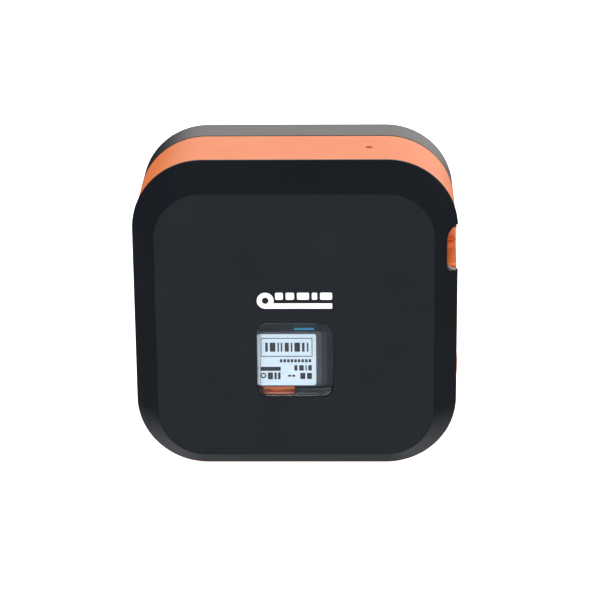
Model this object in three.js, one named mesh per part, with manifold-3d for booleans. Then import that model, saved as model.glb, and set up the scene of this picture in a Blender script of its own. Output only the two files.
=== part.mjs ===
// Desktop label maker for wide laminated tape, built as separate pieces in millimetres.
// X points right, Y points from the front cover to the back, Z points up from the table.
import * as THREE from 'three';
import { mergeVertices } from 'three/addons/utils/BufferGeometryUtils.js';
import Module from 'manifold-3d';

const wasm = await Module();
wasm.setup();

// ---------- driving dimensions ----------
const bodyWidth = 128;
const bodyHeight = 127.5;
const bodyDepth = 67;
const footProud = 0.5; // the feet lift the housing off the table
const cornerRadius = 28;
const wall = 2;
const gap = 0.3; // between fixed neighbours
const runGap = 0.35; // between moving neighbours
const cornerSteps = 6;
const roundSteps = 16;

const bevelDepth = 14.5; // front cover: slanted border round the flat panel
const bevelInset = 9.5;
const rimBand = 0.8; // short straight side behind the bevel
const bandInset = 0.5; // orange band and back stand this far inside the rim
const bandDepth = 33.7;
const seamGap = 0.6;
const backFillet = 1;
const lipDepth = 3;
const lipWall = 1.2;

const windowWidth = 30.2;
const windowHeight = 31;
const windowRadius = 4.5;
const windowX = -0.1;
const windowZ = 50.1;

const notchDepth = 4.5; // tape exit cut-out, from the body's side
const notchBelow = 9.6; // below and above the tape
const notchAbove = 8.9;
const notchRadius = 4.2;

const deckThick = 2; // plate that carries the works
const deckBehindTape = 3;
const tapeWidth = 24;
const tapeThick = 0.4;
const tapeFromTop = 35.2;
const tapeBehindFace = 7.5;

const cassetteSpaceLeft = 21; // from the body's side
const cassetteSpaceRight = 23;
const cassetteLow = 36.6;
const cassetteWall = 1.6;
const labelRise = 1.9; // raised panel under the printed label

const gearModule = 0.8;
const gearWidth = 4.6;
const backlash = 0.22;
const pinRadius = 1.4;
const rollerRadius = 3.5;

const powerZ = 37.4;
const feedZ = 57;
const buttonBeforeDeck = 3;
const buttonRadius = 5.6;
const powerProud = 1.35;
const feedProud = 0.4;

// ---------- values worked out from them ----------
const frontY = -bodyDepth / 2;
const backY = bodyDepth / 2;
const rimY = frontY + bevelDepth;
const coverBackY = rimY + rimBand;
const bandFrontY = coverBackY + gap;
const bandBackY = bandFrontY + bandDepth;
const rearFrontY = bandBackY + seamGap;
const midZ = footProud + bodyHeight / 2;
const halfWidth = bodyWidth / 2;
const halfHeight = bodyHeight / 2;
const tapeZ = footProud + bodyHeight - tapeFromTop;
const tapeFrontY = frontY + tapeBehindFace;
const tapeBackY = tapeFrontY + tapeWidth;
const deckY = tapeBackY + deckBehindTape;
const notchInner = halfWidth - notchDepth;
const notchLow = tapeZ - notchBelow;
const notchHigh = tapeZ + notchAbove;
const cassetteLeft = cassetteSpaceLeft - halfWidth;
const cassetteRight = halfWidth - cassetteSpaceRight;
const cassetteHigh = tapeZ - 1.6;
const cassetteFrontY = tapeFrontY - 0.2;
const bandHalf = halfWidth - bandInset;
const deckBackY = deckY + deckThick;
const buttonY = deckY - buttonBeforeDeck;
const gearY = deckBackY + 0.6;
const gearEndY = gearY + gearWidth;
const rollerZ = tapeZ + tapeThick / 2 + gap + rollerRadius;
const platenX = halfWidth - 34;
const pressX = platenX + 13;
const holderX = platenX - 20;
const bladeLeft = halfWidth - 9.9; // fixed blade plate
const bladeThick = 1;

// ---------- small helpers ----------
function toSolid(geometry) {
  geometry.deleteAttribute('normal');
  geometry.deleteAttribute('uv');
  const merged = mergeVertices(geometry, 1e-4);
  return new wasm.Manifold(new wasm.Mesh({
    numProp: 3,
    vertProperties: new Float32Array(merged.attributes.position.array),
    triVerts: new Uint32Array(merged.index.array),
  }));
}

function toGeometry(solid) {
  const mesh = solid.getMesh();
  const geometry = new THREE.BufferGeometry();
  geometry.setAttribute('position', new THREE.BufferAttribute(mesh.vertProperties, 3));
  geometry.setIndex(new THREE.BufferAttribute(mesh.triVerts, 1));
  geometry.computeVertexNormals();
  return geometry;
}

const join = (...solids) => solids.reduce((all, one) => all.add(one));
const cut = (solid, ...tools) => tools.reduce((left, tool) => left.subtract(tool), solid);

function roundedShape(width, height, radius, centreX, centreZ) {
  const x = width / 2 - radius;
  const z = height / 2 - radius;
  const shape = new THREE.Shape();
  shape.absarc(centreX + x, centreZ + z, radius, 0, Math.PI / 2);
  shape.absarc(centreX - x, centreZ + z, radius, Math.PI / 2, Math.PI);
  shape.absarc(centreX - x, centreZ - z, radius, Math.PI, 1.5 * Math.PI);
  shape.absarc(centreX + x, centreZ - z, radius, 1.5 * Math.PI, 2 * Math.PI);
  return shape;
}

// the body's outline, moved inwards by inset
const bodyShape = (inset) =>
  roundedShape(bodyWidth - 2 * inset, bodyHeight - 2 * inset, cornerRadius - inset, 0, midZ);

const polygonShape = (points) => new THREE.Shape(points.map(([x, z]) => new THREE.Vector2(x, z)));

// a front-view outline given depth from y0 to y1
function prismY(shape, y0, y1, steps = cornerSteps) {
  const geometry = new THREE.ExtrudeGeometry(shape, {
    depth: y1 - y0, bevelEnabled: false, curveSegments: steps,
  });
  geometry.rotateX(Math.PI / 2);
  geometry.translate(0, y1, 0);
  return toSolid(geometry);
}

function box(x0, x1, y0, y1, z0, z1) {
  const geometry = new THREE.BoxGeometry(x1 - x0, y1 - y0, z1 - z0);
  geometry.translate((x0 + x1) / 2, (y0 + y1) / 2, (z0 + z1) / 2);
  return toSolid(geometry);
}

function rodY(radius, x, z, y0, y1, steps = roundSteps) {
  const geometry = new THREE.CylinderGeometry(radius, radius, y1 - y0, steps);
  geometry.translate(x, (y0 + y1) / 2, z);
  return toSolid(geometry);
}

function rodX(radius, y, z, x0, x1, steps = roundSteps) {
  const geometry = new THREE.CylinderGeometry(radius, radius, x1 - x0, steps);
  geometry.rotateZ(Math.PI / 2);
  geometry.translate((x0 + x1) / 2, y, z);
  return toSolid(geometry);
}

function rodZ(radius, x, y, z0, z1, steps = roundSteps) {
  const geometry = new THREE.CylinderGeometry(radius, radius, z1 - z0, steps);
  geometry.rotateX(Math.PI / 2);
  geometry.translate(x, y, (z0 + z1) / 2);
  return toSolid(geometry);
}

// ring between two insets of the body outline
const ring = (outer, inner, y0, y1) =>
  cut(prismY(bodyShape(outer), y0, y1), prismY(bodyShape(inner), y0 - 1, y1 + 1));

const group = new THREE.Group();

function addPiece(name, solid, color, roughness, metalness = 0) {
  const geometry = solid.isBufferGeometry ? solid : toGeometry(solid);
  const mesh = new THREE.Mesh(geometry, new THREE.MeshStandardMaterial({ color, roughness, metalness }));
  mesh.name = name;
  group.add(mesh);
}

const colors = {
  black: 0x202428, darkPlastic: 0x1b1d20, orange: 0xec7a3e, grey: 0x55585c, steel: 0xb9bcc0,
  rubber: 0x17181a, white: 0xe6eef6, acetal: 0xd9d6cc, board: 0x1f5a3a, glass: 0x9fb0bd,
};

// ---------- gears ----------
const pitchRadius = (teeth) => (gearModule * teeth) / 2;
const pressureTan = Math.tan((20 * Math.PI) / 180);
const addendum = 0.9 * gearModule;
const dedendum = 1.15 * gearModule;
const halfTooth = (Math.PI * gearModule) / 4 - backlash / 2;

function gearShape(teeth, phase, x, z) {
  const radius = pitchRadius(teeth);
  const points = [];
  for (let i = 0; i < teeth; i += 1) {
    const centre = phase + (2 * Math.PI * i) / teeth;
    const corners = [[-dedendum, -1], [addendum, -1], [addendum, 1], [-dedendum, 1]];
    for (const [height, side] of corners) {
      const r = radius + height;
      const angle = centre + (side * (halfTooth - height * pressureTan)) / radius;
      points.push([x + r * Math.cos(angle), z + r * Math.sin(angle)]);
    }
  }
  return polygonShape(points);
}

// tooth phase of a gear that meshes with a neighbour seen at direction angle
const meshPhase = (phase, teeth, nextTeeth, angle) => {
  const pitch = (2 * Math.PI) / teeth;
  const offset = phase - angle - pitch * Math.round((phase - angle) / pitch);
  return angle + Math.PI - (teeth / nextTeeth) * offset + Math.PI / nextTeeth;
};

function nextGear(from, teeth, angleDegrees) {
  const angle = (angleDegrees * Math.PI) / 180;
  const distance = pitchRadius(from.teeth) + pitchRadius(teeth);
  return {
    teeth,
    x: from.x + distance * Math.cos(angle),
    z: from.z + distance * Math.sin(angle),
    phase: meshPhase(from.phase, from.teeth, teeth, angle),
  };
}

const gearBore = pinRadius + runGap;
const gearBlank = (gear, y0, y1) => prismY(gearShape(gear.teeth, gear.phase, gear.x, gear.z), y0, y1);
const gearSolid = (gear, y0, y1, bore = gearBore) =>
  cut(gearBlank(gear, y0, y1), rodY(bore, gear.x, gear.z, y0 - 1, y1 + 1, 12));

const platen = { teeth: 16, x: platenX, z: rollerZ, phase: 0 };
const feedIdler = nextGear(platen, 36, -90);
const ribbonGear = nextGear(feedIdler, 20, 165);
const linkIdler = nextGear(ribbonGear, 30, 120);
const motorPinion = nextGear(linkIdler, 12, 140);
// small wheel that drives the blade's rack, one piece with the larger wheel behind it
const cutterPinion = { teeth: 10, x: bladeLeft - 8.1, z: tapeZ + 13.2, phase: 0 };
const cutterWheel = { teeth: 20, x: cutterPinion.x, z: cutterPinion.z, phase: 0 };
const cutterMotorPinion = nextGear(cutterWheel, 10, 150);
const cutterSplitY = gearY + gearWidth / 2;
const rackX = cutterPinion.x + pitchRadius(cutterPinion.teeth);

// ---------- housing ----------
const slope = bevelInset / bevelDepth;
const wallShift = wall * Math.hypot(1, slope);

// solid with the slanted border in front, full size from rimY back to y1
function bevelledSolid(inset, faceY, y1) {
  const depth = rimY - faceY;
  const size = depth * slope;
  const geometry = new THREE.ExtrudeGeometry(bodyShape(inset + size), {
    depth: bodyDepth, bevelEnabled: true, bevelThickness: depth, bevelSize: size, bevelSegments: 1,
    curveSegments: cornerSteps,
  });
  geometry.rotateX(Math.PI / 2);
  geometry.translate(0, rimY + bodyDepth, 0);
  const behind = box(-bodyWidth, bodyWidth, y1, 3 * bodyDepth, -bodyHeight, 2 * bodyHeight);
  return cut(toSolid(geometry), behind);
}

const notchShape = roundedShape(2 * cornerRadius, notchHigh - notchLow, notchRadius,
  notchInner + cornerRadius, (notchHigh + notchLow) / 2);
// the window's outline, grown on every side
const windowShape = (grow) =>
  roundedShape(windowWidth + 2 * grow, windowHeight + 2 * grow, windowRadius + grow, windowX, windowZ);

const coverShell = cut(
  bevelledSolid(0, frontY, coverBackY),
  bevelledSolid(wallShift, frontY + wall, coverBackY + 1),
  prismY(windowShape(0), frontY - 1, rimY, 6),
  prismY(notchShape, frontY - 1, coverBackY + 1, 6),
);
const lipFrontY = bandFrontY - lipDepth;
const bandLipInset = wallShift + gap + (rimY - lipFrontY) * slope;
// four hook legs reach back into the orange band
const legInset = bandLipInset + lipWall + gap;
const legWidth = 10;
const legDepth = 7;
const legRoot = 1.6;
const legSpots = [[-20, 1], [20, 1], [-20, -1], [20, -1]];
const coverLegs = legSpots.map(([x, side]) => {
  const outer = midZ + side * (halfHeight - legInset);
  const inner = outer - side * lipWall;
  const rootOuter = midZ + side * (halfHeight - bandLipInset);
  const [x0, x1] = [x - legWidth / 2, x + legWidth / 2];
  const leg = box(x0, x1, lipFrontY - legRoot, coverBackY + legDepth,
    Math.min(outer, inner), Math.max(outer, inner));
  const root = box(x0, x1, lipFrontY - legRoot, lipFrontY - gap,
    Math.min(rootOuter, inner), Math.max(rootOuter, inner));
  return join(leg, root);
});
addPiece('front_cover', join(coverShell, ...coverLegs), colors.black, 0.5);

const lensFlange = 1.6;
const lensThick = 0.8;
const lensSunk = 0.6; // how far the lens lies behind the cover's face
const lensSeatY = frontY + wall + gap;
addPiece('window_lens', join(
  prismY(windowShape(-gap), frontY + lensSunk, lensSeatY + lensThick, 6),
  prismY(windowShape(lensFlange), lensSeatY, lensSeatY + lensThick, 6),
), colors.glass, 0.1);

const exitLow = notchLow + 1.4;
const exitHigh = notchHigh - 1.1;
const exitBackY = tapeBackY + 1.6;
const lightX = 29.3;
const lightY = deckY - 1.2;
const footX = 30;
const footFrontY = -8;
const footRearY = 25;
const footRadius = 4.5;
const footSeat = 0.6;
const usbZ = 24;
const boardY = gearEndY + 3.2;
const usbY = boardY - 2;
const usbHigh = 9;
const usbThick = 3.2;
const lightBore = 1.5;

const buttonHole = (z) => rodX(buttonRadius + gap, buttonY, z, bandHalf - 4, bandHalf + 3, 24);
const footHole = (x, y) => rodZ(footRadius + gap, x, y, -1, footProud + bandInset + footSeat);
// the USB opening's size, grown on every side, from x0 to x1
const usbBox = (x0, x1, grow) => box(x0, x1, usbY - usbThick / 2 - grow, usbY + usbThick / 2 + grow,
  usbZ - usbHigh / 2 - grow, usbZ + usbHigh / 2 + grow);

addPiece('mid_frame', cut(
  join(
    ring(bandInset, bandInset + wall, bandFrontY, bandBackY),
    ring(bandInset + wall / 2, bandLipInset + lipWall, bandFrontY, bandFrontY + 2),
    ring(bandLipInset, bandLipInset + lipWall, lipFrontY, bandFrontY + 1),
  ),
  box(halfWidth - 14, halfWidth + 6, lipFrontY - 1, exitBackY + gap, exitLow - gap, exitHigh + gap),
  rodZ(lightBore, lightX, lightY, bodyHeight - 5, bodyHeight + 3, 16),
  buttonHole(powerZ), buttonHole(feedZ),
  footHole(-footX, footFrontY), footHole(footX, footFrontY),
  usbBox(-halfWidth - 6, 9 - halfWidth, gap),
), colors.orange, 0.55);

// exit guide: a flared mouth with a slot for the tape, open towards the cover
const guideLeft = halfWidth - 6.8;
const guideRight = bandHalf - 0.1;
const guideFrontY = rimY - 2.8 + wall;
const mouthY = guideFrontY + 5;
const slotHalf = 1.1;
const slotEndY = tapeBackY + 0.8;
const flareUp = 3.4; // the mouth's lip above the tape and ramp below it
const flareDown = 7.2;
const mouthShape = polygonShape([
  [guideFrontY - 1, tapeZ + flareUp], [mouthY, tapeZ + slotHalf], [slotEndY, tapeZ + slotHalf],
  [slotEndY, tapeZ - slotHalf], [mouthY, tapeZ - slotHalf], [guideFrontY - 1, tapeZ - flareDown],
]);
const mouthGeometry = new THREE.ExtrudeGeometry(mouthShape, { depth: 20, bevelEnabled: false });
mouthGeometry.rotateX(Math.PI / 2); // shape (y, z) now lies in X and Z, depth along -Y
mouthGeometry.rotateZ(Math.PI / 2); // shape x becomes Y, depth becomes X
mouthGeometry.translate(guideLeft - 5, 0, 0);
addPiece('exit_guide', cut(
  box(guideLeft, guideRight, guideFrontY, exitBackY, exitLow, exitHigh),
  toSolid(mouthGeometry),
), colors.orange, 0.55);

// ---------- rear housing ----------
const screwX = halfWidth - 23;
const screwRise = halfHeight - 8.75;
const screwSpots = [[-screwX, midZ - screwRise], [screwX, midZ - screwRise], [-screwX, midZ + screwRise],
  [screwX, midZ + screwRise]];
const screwShank = 1.25;
const screwHead = 2.6;
const screwHeadDepth = 2;
const screwSocket = 1; // across half its hexagon
const headY = backY - 3;
const bossRadius = 3.4; // chassis posts the back shell is screwed to
const rearGeometry = new THREE.ExtrudeGeometry(bodyShape(bandInset + backFillet), {
  depth: bodyDepth, bevelEnabled: true, bevelThickness: backFillet, bevelSize: backFillet, bevelSegments: 1,
  curveSegments: cornerSteps,
});
rearGeometry.rotateX(Math.PI / 2);
rearGeometry.translate(0, backY - backFillet, 0);
const headBoss = screwHead + 1.4;
const ratingWidth = 62;
const ratingHeight = 34;
const ratingRadius = 2.2;
const ratingRecess = 0.5;
const ratingZ = 42;
const ratingShape = (grow) =>
  roundedShape(ratingWidth + 2 * grow, ratingHeight + 2 * grow, ratingRadius + grow, 0, ratingZ);
const rearLipInset = bandInset + wall + gap;
addPiece('rear_housing', cut(
  join(
    cut(
      toSolid(rearGeometry),
      box(-bodyWidth, bodyWidth, -3 * bodyDepth, rearFrontY, -bodyHeight, 2 * bodyHeight),
      prismY(bodyShape(bandInset + wall), rearFrontY - 1, backY - wall),
    ),
    ring(bandInset + wall / 2, rearLipInset + lipWall, rearFrontY, rearFrontY + 2),
    ring(rearLipInset, rearLipInset + lipWall, rearFrontY - lipDepth, rearFrontY + 1),
    ...screwSpots.map(([x, z]) => rodY(headBoss, x, z, rearFrontY + 0.6, backY - wall / 2)),
  ),
  ...screwSpots.map(([x, z]) => rodY(screwShank + gap, x, z, bandFrontY, backY + 1, 12)),
  ...screwSpots.map(([x, z]) => rodY(screwHead + gap, x, z, headY - screwHeadDepth - gap, backY + 1)),
  footHole(-footX, footRearY), footHole(footX, footRearY),
  prismY(ratingShape(gap), backY - ratingRecess, backY + 1, 4),
), colors.darkPlastic, 0.5);
addPiece('rating_label', prismY(ratingShape(0), backY - ratingRecess + 0.1, backY - 0.1, 4),
  colors.grey, 0.6);

const bossEndY = rearFrontY;
const hexagon = (x, z, radius) => polygonShape(Array.from({ length: 6 }, (_, k) =>
  [x + radius * Math.cos((k * Math.PI) / 3), z + radius * Math.sin((k * Math.PI) / 3)]));
screwSpots.forEach(([x, z], i) => {
  addPiece(`rear_screw_${i + 1}`, cut(join(
    rodY(screwShank, x, z, bossEndY - 9, headY - 1, 12),
    rodY(screwHead, x, z, headY - screwHeadDepth, headY, 16),
  ), prismY(hexagon(x, z, screwSocket), headY - 1, headY + 1)), colors.steel, 0.35, 1);
});

const footTop = footProud + bandInset + footSeat - gap;
const footSpots = [[-footX, footFrontY], [footX, footFrontY], [-footX, footRearY], [footX, footRearY]];
footSpots.forEach(([x, y], i) => {
  addPiece(`foot_${i + 1}`, rodZ(footRadius, x, y, 0, footTop), colors.rubber, 0.9);
});

// ---------- buttons, light and their boards ----------
const flangeTop = bandHalf - wall - gap;
const flangeThick = 1.4;
function addButton(name, z, proud) {
  addPiece(name, join(
    rodX(buttonRadius, buttonY, z, flangeTop - 0.4, bandHalf + proud, 24),
    rodX(buttonRadius + 1.2, buttonY, z, flangeTop - flangeThick, flangeTop, 24),
  ), colors.orange, 0.5);
}
addButton('power_button', powerZ, powerProud);
addButton('feed_cut_button', feedZ, feedProud);
const buttonTravel = 0.8;
const switchHalf = 2.7;
const plungerTop = flangeTop - flangeThick - buttonTravel - gap;
const switchBodyTop = plungerTop - 1;
const switchThick = 2;
const switchStem = 1.7;
const switchBoardTop = switchBodyTop - switchThick - gap;
const boardThick = 1.6;
[['power_switch', powerZ], ['feed_switch', feedZ]].forEach(([name, z]) => {
  addPiece(name, join(
    box(switchBodyTop - switchThick, switchBodyTop, buttonY - switchHalf, buttonY + switchHalf,
      z - switchHalf, z + switchHalf),
    rodX(switchStem, buttonY, z, switchBodyTop - 0.5, plungerTop, 12),
  ), colors.steel, 0.4, 0.6);
});
addPiece('switch_board', box(switchBoardTop - boardThick, switchBoardTop, buttonY - 5.5, deckY - gap,
  powerZ - 7, feedZ + 7), colors.board, 0.6);

const bandTopZ = midZ + halfHeight - bandInset;
const lightCollarZ = bandTopZ - wall - gap;
addPiece('status_light_pipe', join(
  rodZ(lightBore - gap, lightX, lightY, bandTopZ - 9, bandTopZ - 1.1, 16),
  rodZ(lightBore + 0.9, lightX, lightY, lightCollarZ - 1.2, lightCollarZ, 16),
), colors.white, 0.3);

// ---------- chassis ----------
const deckInset = bandInset + wall + gap;
const pocketWall = 1.6;
const pocketGap = 0.5;
const pocketFrontY = deckY - 17;
const postEndY = gearEndY + 0.3;
const ribLeft = windowX - 14.9;
const ribRight = windowX - 0.5;
const moveLeft = bladeLeft + bladeThick + gap;
const post = (gear) => rodY(pinRadius, gear.x, gear.z, deckBackY - 0.5, postEndY, 12);
const throughDeck = (radius, x, z) => rodY(radius, x, z, deckY - 1, deckBackY + 1, 16);
const pocketLow = cassetteLow - pocketGap - pocketWall;
const pocketLeft = cassetteLeft - pocketGap - pocketWall;
const pocketRight = cassetteRight + pocketGap + pocketWall;
const shaftSlotHalf = 2.2;
const shaftSlot = (y0, y1) => box(platenX - shaftSlotHalf, platenX + shaftSlotHalf, y0, y1,
  rollerZ - shaftSlotHalf, rollerZ + 5);
const chassis = cut(
  join(
    prismY(bodyShape(deckInset + 1), deckY, deckBackY),
    box(pocketLeft, pocketRight, pocketFrontY, deckY + 0.5, pocketLow, pocketLow + pocketWall),
    box(pocketLeft, pocketLeft + pocketWall, pocketFrontY, deckY + 0.5, pocketLow, tapeZ - 12.8),
    box(pocketRight - pocketWall, pocketRight, pocketFrontY, deckY + 0.5, pocketLow, tapeZ - 18.8),
    box(ribLeft, ribRight, cassetteFrontY + 1.2, pocketFrontY + 1, pocketLow + 0.4, pocketLow + pocketWall),
    box(ribLeft, ribRight, cassetteFrontY + 1.2, deckY + 0.5, pocketLow - 2.2, pocketLow - 0.8),
    box(ribLeft + 5, ribRight - 5, cassetteFrontY + 3, deckY + 0.5, pocketLow - 1.2, pocketLow + 0.8),
    ...[feedIdler, linkIdler, cutterWheel].map(post),
    ...screwSpots.map(([x, z]) => rodY(bossRadius, x, z, deckBackY - 0.5, bossEndY)),
  ),
  ...screwSpots.map(([x, z]) => rodY(screwShank + gap, x, z, bossEndY - 10, bossEndY + 1, 12)),
  shaftSlot(deckY - 1, deckBackY + 1),
  throughDeck(4.2, motorPinion.x, motorPinion.z),
  throughDeck(3.6, cutterMotorPinion.x, cutterMotorPinion.z),
  throughDeck(3.4, ribbonGear.x, ribbonGear.z),
  box(moveLeft - 0.5, moveLeft + bladeThick + 0.5, deckY - 1, deckBackY + 1, tapeZ - 0.3, tapeZ + 12.2),
  ...[powerZ, feedZ].map((z) =>
    box(halfWidth - 7, halfWidth + 6, deckY - 1, deckBackY + 3, z - 7.6, z + 7.6)),
  box(lightX - 3.2, lightX + 3.2, deckY - 1, deckBackY + 1, bandTopZ - 11.5, bandTopZ + 3),
);
addPiece('bay_chassis', chassis, colors.orange, 0.6);
addPiece('gear_plate', cut(
  prismY(polygonShape([
    [motorPinion.x - 7.5, linkIdler.z - 7], [motorPinion.x - 7.5, motorPinion.z + 8],
    [cutterMotorPinion.x + 8, motorPinion.z + 8], [cutterPinion.x + 8, cutterPinion.z + 6],
    [cutterPinion.x + 8, feedIdler.z - 6], [ribbonGear.x, feedIdler.z - 6], [linkIdler.x - 4, ribbonGear.z],
  ]), postEndY + 0.3, postEndY + 1.1),
  shaftSlot(deckY, boardY),
  rodY(2.2, ribbonGear.x, ribbonGear.z, deckY, boardY, 16),
  ...screwSpots.map(([x, z]) => rodY(bossRadius + gap, x, z, deckY, boardY, 16)),
  box(rackX - 0.4, halfWidth, deckY, boardY, tapeZ - 7, motorPinion.z + 9),
), colors.steel, 0.4, 1);

// ---------- feed train ----------
addPiece('feed_idler_gear', gearSolid(feedIdler, gearY, gearEndY), colors.acetal, 0.5);
addPiece('link_idler_gear', gearSolid(linkIdler, gearY, gearEndY), colors.acetal, 0.5);
const spindleRadius = 2.4;
const spindleGroove = 0.7;
const starPoints = 6;
const spindleStar = polygonShape(Array.from({ length: 2 * starPoints }, (_, i) => {
  const r = i % 2 ? spindleRadius : spindleRadius - spindleGroove;
  const angle = (Math.PI * i) / starPoints;
  return [ribbonGear.x + r * Math.cos(angle), ribbonGear.z + r * Math.sin(angle)];
}));
addPiece('ribbon_gear', gearSolid(ribbonGear, gearY, gearEndY, spindleRadius + gap), colors.acetal, 0.5);
addPiece('ribbon_spindle', join(
  prismY(spindleStar, tapeFrontY + 3, gearEndY - gap),
  rodY(3, ribbonGear.x, ribbonGear.z, deckY + 0.2, deckBackY - 0.2, 16),
), colors.acetal, 0.5);

const motorShaft = 0.95;
function addMotor(name, pinion, radius, length, pinionEndY) {
  const canY = deckY - gap;
  addPiece(name, join(
    rodY(radius, pinion.x, pinion.z, canY - length, canY, 24),
    rodY(radius * 0.45, pinion.x, pinion.z, canY - length - 1.2, deckBackY - 0.8, 16),
    rodY(motorShaft, pinion.x, pinion.z, deckY - 1, gearEndY + 0.2, 12),
  ), colors.steel, 0.35, 1);
  addPiece(`${name}_pinion`, gearSolid(pinion, gearY, pinionEndY, motorShaft + runGap), colors.acetal, 0.5);
}
addMotor('feed_motor', motorPinion, 7.6, 18, gearEndY);

// ---------- swinging roller holder ----------
const holderFrontY = tapeFrontY - 1.5;
const cheek = 1.2;
const holderTop = rollerZ + rollerRadius + 1.8;
const holderLeft = holderX - 4;
const holderRight = pressX + 3.4;
const pivotTube = 3;
const holderArm = (y0) => prismY(polygonShape([
  [holderLeft, rollerZ - 2.6], [holderX + 5, rollerZ - 2.6], [holderX + 10, rollerZ - 1.4],
  [holderRight, rollerZ - 1.4], [holderRight, holderTop], [holderLeft, holderTop],
]), y0, y0 + cheek);
const holderBackY = tapeBackY + 0.9;
const shaftFrontY = holderFrontY - 0.8;
addPiece('roller_holder', cut(
  join(
    holderArm(holderFrontY), holderArm(holderBackY),
    box(holderLeft, holderRight, holderFrontY + 0.3, holderBackY + cheek - 0.2, holderTop - 1.2, holderTop),
    rodY(pivotTube, holderX, rollerZ, holderFrontY + 0.3, holderBackY + 0.4, 16),
  ),
  ...[holderX, platenX, pressX].map((x) => rodY(pinRadius + runGap, x, rollerZ, frontY, deckY, 12)),
), colors.darkPlastic, 0.5);
const addShaft = (name, x, y1) =>
  addPiece(name, rodY(pinRadius, x, rollerZ, shaftFrontY, y1, 16), colors.steel, 0.3, 1);
addShaft('holder_pivot_pin', holderX, deckY - gap);

const rollerBody = (x) => cut(
  rodY(rollerRadius, x, rollerZ, tapeFrontY, tapeBackY - 0.2, 24),
  rodY(pinRadius + 0.1, x, rollerZ, frontY, deckY, 16),
);
addPiece('platen_roller', rollerBody(platenX), colors.rubber, 0.85);
addShaft('platen_shaft', platenX, gearEndY + 1);
addPiece('platen_gear', gearSolid(platen, gearY, gearEndY, pinRadius + 0.1), colors.acetal, 0.5);
addPiece('press_roller', rollerBody(pressX), colors.rubber, 0.85);
addShaft('press_roller_shaft', pressX, deckY - gap);

// torsion spring round the holder's pivot tube, one leg under the holder's top bar
const coilInner = pivotTube + gap;
const springWire = 0.5;
const coilOuter = coilInner + springWire;
const coilFrontY = tapeFrontY + 9;
const coilBackY = coilFrontY + 6;
const springLeg = 9;
addPiece('holder_spring', join(
  cut(rodY(coilOuter, holderX, rollerZ, coilFrontY, coilBackY, 24),
    rodY(coilInner, holderX, rollerZ, frontY, deckY, 24)),
  box(holderX, holderX + springLeg, coilBackY - springWire, coilBackY,
    rollerZ + coilInner, rollerZ + coilOuter),
  box(holderX - springLeg, holderX, coilFrontY, coilFrontY + springWire,
    rollerZ - coilOuter, rollerZ - coilInner),
), colors.steel, 0.3, 1);

// ---------- print head ----------
const cavityLow = tapeZ - 19.3; // room for the head in the cassette
const headPlateX = platenX - 0.8;
const headTop = tapeZ - tapeThick / 2 - gap;
const headThick = 1;
const headHalf = 2.5;
const heatsinkThick = 1.6;
addPiece('print_head', box(platenX - headHalf, platenX + headHalf, tapeFrontY, tapeBackY,
  headTop - headThick, headTop), colors.acetal, 0.2);
addPiece('head_heatsink', box(headPlateX, headPlateX + heatsinkThick, tapeFrontY + 0.5, deckY - gap,
  cavityLow + 1, headTop - headThick - gap), colors.steel, 0.4, 1);

// ---------- cutter ----------
const bladeFrontY = rimY + (moveLeft + bladeThick - halfWidth + wallShift) / slope + 2 * gap;
const moveLow = tapeZ + tapeThick / 2 + 0.8;
addPiece('fixed_blade', box(bladeLeft, bladeLeft + bladeThick, bladeFrontY, deckY - gap,
  tapeZ - 10.8, headTop), colors.steel, 0.3, 1);
addPiece('moving_blade', join(
  box(moveLeft, moveLeft + bladeThick, bladeFrontY, tapeBackY + 1, moveLow, tapeZ + 8.2),
  box(moveLeft, moveLeft + bladeThick, tapeBackY, gearEndY, tapeZ + 5.2, tapeZ + 11.2),
), colors.steel, 0.3, 1);
const rackPitch = Math.PI * gearModule;
const rackTeeth = 7;
const rackLow = cutterPinion.z - rackPitch * 4.5;
const rackPoints = [[rackX + dedendum, rackLow - 0.6]];
for (let i = 0; i < rackTeeth; i += 1) {
  const centre = rackLow + rackPitch * (i + 1);
  for (const [height, side] of [[-dedendum, -1], [addendum, -1], [addendum, 1], [-dedendum, 1]]) {
    rackPoints.push([rackX - height, centre + side * (halfTooth - height * pressureTan)]);
  }
}
const rackBack = moveLeft - gap;
const rackTop = rackLow + rackPitch * (rackTeeth + 1);
rackPoints.push([rackX + dedendum, rackTop], [rackBack, rackTop], [rackBack, rackLow - 0.6]);
addPiece('blade_carriage', prismY(polygonShape(rackPoints), cutterSplitY + 0.4, gearEndY),
  colors.darkPlastic, 0.5);
addPiece('cutter_gear', cut(
  join(gearBlank(cutterWheel, gearY, cutterSplitY), gearBlank(cutterPinion, cutterSplitY - 0.2, gearEndY)),
  rodY(gearBore, cutterPinion.x, cutterPinion.z, gearY - 1, gearEndY + 1, 12),
), colors.acetal, 0.5);
addMotor('cutter_motor', cutterMotorPinion, 6, 14, cutterSplitY - 0.2);

// ---------- electronics ----------
const boardBackY = boardY + boardThick;
const boardWidth = bodyWidth - 24;
const boardHeight = bodyHeight - 51.5;
const boardX = -2;
const boardZ = 52;
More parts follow.
